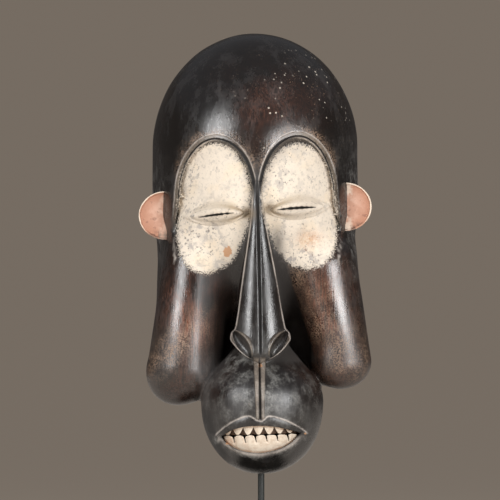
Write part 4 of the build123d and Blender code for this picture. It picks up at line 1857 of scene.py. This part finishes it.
@dataclass(frozen=True)
class Felt:
    """Black felt with loose fibres."""

    dark: Colour = (0.010, 0.010, 0.011)
    fibre: Colour = (0.040, 0.040, 0.043)

    def material(self) -> bpy.types.Material:
        """Builds the finish.

        Returns:
            The material.
        """
        n = Finish("felt")
        hair = n.noise(1500.0, 4.0, 0.75, (1.0, 1.0, 0.4))
        colour = n.mix(hair.ramp(0.42, 0.68), self.dark, self.fibre)
        return n.done(Base_Color=colour, Roughness=0.95, Normal=n.bump(hair, 0.0004, 0.8), Sheen_Weight=0.3)


@dataclass(frozen=True)
class Rubber:
    """Matt black rubber with a faint bloom."""

    black: Colour = (0.014, 0.014, 0.0145)
    bloom: Colour = (0.045, 0.045, 0.047)

    def material(self) -> bpy.types.Material:
        """Builds the finish.

        Returns:
            The material.
        """
        n = Finish("rubber")
        cloud = n.noise(160.0, 4.0, 0.6)
        normal = n.bump(n.noise(1400.0, 2.0, 0.5), 0.00006, 0.5)
        colour = n.mix(cloud.ramp(0.45, 0.75, 0.0, 0.7), self.black, self.bloom)
        return n.done(Base_Color=colour, Roughness=cloud.ramp(0.3, 0.7, 0.6, 0.8), Normal=normal)


@dataclass(frozen=True)
class Zinc:
    """Plain zinc on steel, with a fine turned grain."""

    bright: Colour = (0.60, 0.60, 0.61)
    dull: Colour = (0.38, 0.38, 0.39)

    def material(self) -> bpy.types.Material:
        """Builds the finish.

        Returns:
            The material.
        """
        n = Finish("bright_steel")
        grain = n.noise(700.0, 4.0, 0.6, (1.0, 1.0, 6.0))
        colour = n.mix(grain.ramp(0.40, 0.68), self.bright, self.dull)
        rough = grain.ramp(0.3, 0.7, 0.26, 0.42)
        return n.done(Base_Color=colour, Roughness=rough, Metallic=1.0, Normal=n.bump(grain, 0.00003, 0.6))


@dataclass(frozen=True)
class Lamp:
    """A soft rectangular lamp: place and size in metres, power in watts, and whether gloss shows it."""

    name: str
    place: Point
    size: tuple[float, float]
    power: float
    mirrored: bool

    def hang(self, aim: Point) -> None:
        """Hangs the lamp so that it faces a place.

        Args:
            aim: The place.
        """
        data = bpy.data.lights.new(self.name, "AREA")
        data.shape = "RECTANGLE"
        data.size, data.size_y = self.size
        data.energy = self.power
        lamp = bpy.data.objects.new(self.name, data)
        lamp.location = self.place
        lamp.rotation_euler = (Vector(aim) - lamp.location).to_track_quat("-Z", "Y").to_euler()
        lamp.visible_glossy = self.mirrored
        bpy.context.scene.collection.objects.link(lamp)


@dataclass(frozen=True)
class Stage:
    """A pale floor that rises all round into a wall, and soft studio lamps."""

    radius: float = 32.0
    height: float = 14.0
    bend: float = 7.0
    sides: int = 96
    bend_steps: int = 12
    colour: Colour = (0.62, 0.56, 0.50)
    backdrop: Colour = (0.195, 0.162, 0.131)
    evenness: float = 0.88
    face: Point = (0.0, -0.06, 0.32)
    room: Colour = (0.9, 0.92, 1.0)
    room_strength: float = 0.14
    lamps: tuple[Lamp, ...] = (
        Lamp("left_box", (-1.8, -1.92, 1.0), (0.85, 1.1), 37.0, True),
        Lamp("right_box", (1.55, -2.1, 0.5), (1.3, 0.95), 48.0, True),
        Lamp("front_fill", (-0.5, -2.6, 0.9), (1.2, 1.2), 8.0, False),
        Lamp("top", (0.1, -0.9, 2.4), (1.6, 1.6), 22.0, False),
        Lamp("back_left", (-2.0, 1.5, 1.6), (1.0, 1.4), 16.0, False),
        Lamp("back_right", (2.0, 1.5, 1.6), (1.0, 1.4), 16.0, False),
    )

    def build(self) -> None:
        """Builds the floor and lights the room."""
        floor = self.floor()
        floor.data.materials.append(self.paper())
        for lamp in self.lamps:
            lamp.hang(self.face)
        world = bpy.data.worlds.new("room")
        bpy.context.scene.world = world
        world.use_nodes = True
        background = world.node_tree.nodes["Background"]
        plug(background.inputs["Color"], self.room)
        plug(background.inputs["Strength"], self.room_strength)

    def floor(self) -> bpy.types.Object:
        """Models the floor: a disc whose edge is drawn up through a quarter turn into a wall.

        Returns:
            The floor.
        """
        flat = self.radius - self.bend
        bpy.ops.mesh.primitive_circle_add(vertices=self.sides, radius=flat, fill_type="NGON")
        floor = bpy.context.active_object
        floor.name = "studio_floor"
        bpy.ops.object.mode_set(mode="EDIT")
        bpy.ops.mesh.select_all(action="SELECT")
        bpy.ops.mesh.select_mode(type="EDGE")
        bpy.ops.mesh.region_to_loop()
        reached, lifted = flat, 0.0
        for turn in range(1, self.bend_steps + 1):
            angle = math.pi / 2 * turn / self.bend_steps
            radius = flat + self.bend * math.sin(angle)
            height = self.bend * (1.0 - math.cos(angle))
            wider = radius / reached
            bpy.ops.mesh.extrude_edges_move(TRANSFORM_OT_translate={"value": (0.0, 0.0, height - lifted)})
            bpy.ops.transform.resize(value=(wider, wider, 1.0), center_override=(0.0, 0.0, 0.0))
            reached, lifted = radius, height
        bpy.ops.mesh.extrude_edges_move(TRANSFORM_OT_translate={"value": (0.0, 0.0, self.height - lifted)})
        bpy.ops.mesh.select_all(action="SELECT")
        bpy.ops.mesh.normals_make_consistent(inside=True)
        bpy.ops.object.mode_set(mode="OBJECT")
        bpy.ops.object.shade_smooth()
        return floor

    def paper(self) -> bpy.types.Material:
        """Builds the matt paper, which looks nearly even to the camera.

        Returns:
            The material.
        """
        n = Finish("studio_paper")
        material = n.done(Base_Color=self.colour, Roughness=0.9, Specular_IOR_Level=0.1)
        seen = n.pattern("ShaderNodeLightPath", {}, "Is Camera Ray")
        even = n.pattern("ShaderNodeEmission", {"Color": self.backdrop, "Strength": 1.0})
        lit = Pattern(n.shader.outputs[0])
        surface = n.pattern("ShaderNodeMixShader", {0: seen * self.evenness, 1: lit, 2: even})
        plug(n.tree.nodes["Material Output"].inputs["Surface"], surface)
        return material


@dataclass(frozen=True)
class View:
    """The camera: level, straight in front of the mask."""

    across: float = -0.0102
    height: float = 0.3077
    plane_depth: float = 0.060
    distance: float = 9.0
    frame_width: float = 0.4545
    sensor: float = 36.0

    def build(self) -> None:
        """Sets up the camera."""
        data = bpy.data.cameras.new("camera")
        data.sensor_width = self.sensor
        data.lens = self.sensor * self.distance / self.frame_width
        data.clip_end = 120.0
        camera = bpy.data.objects.new("camera", data)
        camera.location = (self.across, -self.plane_depth - self.distance, self.height)
        camera.rotation_euler = (math.radians(90.0), 0.0, 0.0)
        bpy.context.scene.collection.objects.link(camera)
        bpy.context.scene.camera = camera


@dataclass(frozen=True)
class Ear:
    """A half-round ear that stands out sideways, with a thin rim round a shallow dish."""

    side: Side
    centre: Point
    half_width: float = 0.024
    half_height: float = 0.022
    thickness: float = 0.010
    rim: float = 0.0013
    dish: float = 0.0011
    sag: float = 0.0007
    root: float = 0.0088
    edge_round: float = 0.0006
    crust: float = 0.8
    corners: int = 128

    def build(self) -> bpy.types.Object:
        """Models the ear and dresses it.

        Returns:
            The ear.
        """
        ear = self.disc()
        self.scoop(ear)
        self.cut_root()
        self.round_edges(ear)
        finish = EarStain(tuple(self.centre), self.half_width, self.half_height, self.side, self.crust)
        ear.data.materials.append(finish.material())
        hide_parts(f"{self.side.name.lower()}_ear")
        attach(ear, "mask")
        return ear

    def disc(self) -> bpy.types.Object:
        """Models an upright oval disc of the ear's thickness.

        Returns:
            The disc.
        """
        bpy.ops.object.select_all(action="DESELECT")
        bpy.ops.mesh.primitive_circle_add(
            vertices=self.corners,
            radius=self.half_width,
            fill_type="NGON",
            location=self.centre,
            rotation=(math.radians(90.0), 0.0, 0.0),
        )
        ear = bpy.context.active_object
        ear.name = f"{self.side.name.lower()}_half_round_ear"
        bpy.ops.object.transform_apply(location=True, rotation=True, scale=True)
        bpy.ops.object.mode_set(mode="EDIT")
        bpy.ops.mesh.select_all(action="SELECT")
        flatter = (1.0, 1.0, self.half_height / self.half_width)
        bpy.ops.transform.resize(value=flatter, center_override=self.centre)
        bpy.ops.mesh.extrude_region_move(TRANSFORM_OT_translate={"value": (0.0, self.thickness, 0.0)})
        bpy.ops.mesh.select_all(action="SELECT")
        bpy.ops.mesh.normals_make_consistent(inside=False)
        bpy.ops.object.mode_set(mode="OBJECT")
        return ear

    def scoop(self, ear: bpy.types.Object) -> None:
        """Sinks a shallow dish inside a thin rim on the ear's front, and stays in edit mode.

        Args:
            ear: The ear, as a plain disc.
        """
        for part in (*ear.data.edges, *ear.data.vertices):
            part.select = False
        for face in ear.data.polygons:
            face.select = face.normal.y < -0.9
        bpy.ops.object.mode_set(mode="EDIT")
        bpy.ops.mesh.select_mode(type="FACE")
        bpy.ops.mesh.inset(thickness=self.rim, depth=0.0)
        bpy.ops.mesh.inset(thickness=0.5 * self.rim, depth=-self.dish)
        for _ in range(3):
            bpy.ops.mesh.inset(thickness=0.16 * self.half_width, depth=-self.sag / 3.0)

    def cut_root(self) -> None:
        """Cuts the disc where it meets the head, closes the cut and leaves edit mode."""
        bpy.ops.mesh.select_all(action="SELECT")
        cut = (self.centre[0] - self.side.value * self.root, 0.0, 0.0)
        inwards = (-self.side.value, 0.0, 0.0)
        bpy.ops.mesh.bisect(plane_co=cut, plane_no=inwards, use_fill=True, clear_outer=True)
        bpy.ops.mesh.select_all(action="SELECT")
        bpy.ops.mesh.normals_make_consistent(inside=False)
        bpy.ops.object.mode_set(mode="OBJECT")

    def round_edges(self, ear: bpy.types.Object) -> None:
        """Rounds the ear's sharp edges.

        Args:
            ear: The ear.
        """
        rounding = ear.modifiers.new("rounding", "BEVEL")
        rounding.width = self.edge_round
        rounding.segments = 3
        rounding.limit_method = "ANGLE"
        rounding.angle_limit = math.radians(32.0)
        bpy.ops.object.modifier_apply(modifier=rounding.name)
        bpy.ops.object.shade_smooth_by_angle(angle=math.radians(30.0))



@dataclass(frozen=True)
class CarvedMask:
    """The mask's wooden body, its teeth and its ears: boxes and cells in millimetres."""

    bench: Workbench
    carving: Carving = Carving()
    body_box: tuple[Point, Point] = ((-107.0, -3.0, -3.0), (105.0, 152.0, 404.0))
    body_cell: float = 0.75
    quick_body_cell: float = 1.3
    body_triangles: int = 60000
    teeth_box: tuple[Point, Point] = ((-42.0, 100.0, 14.0), (42.0, 146.0, 50.0))
    teeth_cell: float = 0.36
    teeth_triangles: int = 36000

    def build(self) -> None:
        """Carves and finishes every wooden piece."""
        self.build_body()
        tooth_wood = ToothWood().material()
        for row in Row:
            self.build_teeth(row, tooth_wood)
        for side in Side:
            self.build_ear(side)

    def build_body(self) -> None:
        """Carves the mask's body and dresses it."""
        cell = self.body_cell
        form, detail = self.carving.gap, self.carving.detail
        body = self.bench.piece("carved_mask", form, self.body_box, cell, self.body_triangles, detail)
        self.bench.mark(body, self.carving.marks)
        body.data.materials.append(CarvedWood().material())
        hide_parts("mask_body")
        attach(body, "mask")

    def build_teeth(self, row: Row, finish: bpy.types.Material) -> None:
        """Carves a row of teeth and dresses it.

        Args:
            row: Which row.
            finish: The material of both rows.
        """
        form = TeethForm(row, self.carving.muzzle, self.carving.mouth)
        teeth = self.bench.piece(
            f"filed_{row.value}", form.gap, self.teeth_box, self.teeth_cell, self.teeth_triangles
        )
        self.bench.mark(teeth, form.marks)
        teeth.data.materials.append(finish)
        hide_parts(row.value)
        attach(teeth, "mask")

    def build_ear(self, side: Side) -> None:
        """Models an ear where its CAD node lies.

        Args:
            side: Which ear.
        """
        low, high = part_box(f"{side.name.lower()}_ear")
        tip, crust = (low.x, 0.25) if side is Side.LEFT else (high.x, 0.8)
        centre = (tip - side.value * Ear.half_width, low.y, 0.5 * (low.z + high.z))
        ear = Ear(side, centre, crust=crust).build()
        log.info("%s: %d faces", ear.name, len(ear.data.polygons))


class Stand:
    """The display stand, whose CAD nodes keep their shapes."""

    def build(self) -> None:
        """Dresses every node of the stand."""
        lacquer, rubber = BlackLacquer().material(), Rubber().material()
        finishes = {
            "base_plate": lacquer,
            "post": lacquer,
            "post_collar": lacquer,
            "rest_bar": lacquer,
            "hook_sleeve": rubber,
            "left_bumper": rubber,
            "right_bumper": rubber,
            "base_felt": Felt().material(),
            "base_screw": Zinc().material(),
        }
        for name, finish in finishes.items():
            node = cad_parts[name]
            node.data.materials.clear()
            node.data.materials.append(finish)
            log.info("%s: %s", name, finish.name)


def main() -> None:
    """Builds the mask, its stand, the floor, the lamps and the camera."""
    logging.basicConfig(level=logging.INFO, format="%(message)s")
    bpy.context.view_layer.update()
    bpy.context.scene.view_settings.view_transform = "Standard"
    View().build()
    Stage().build()
    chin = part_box("mask_body")[0].z
    CarvedMask(Workbench(chin)).build()
    Stand().build()


if __name__ == "__main__":
    main()
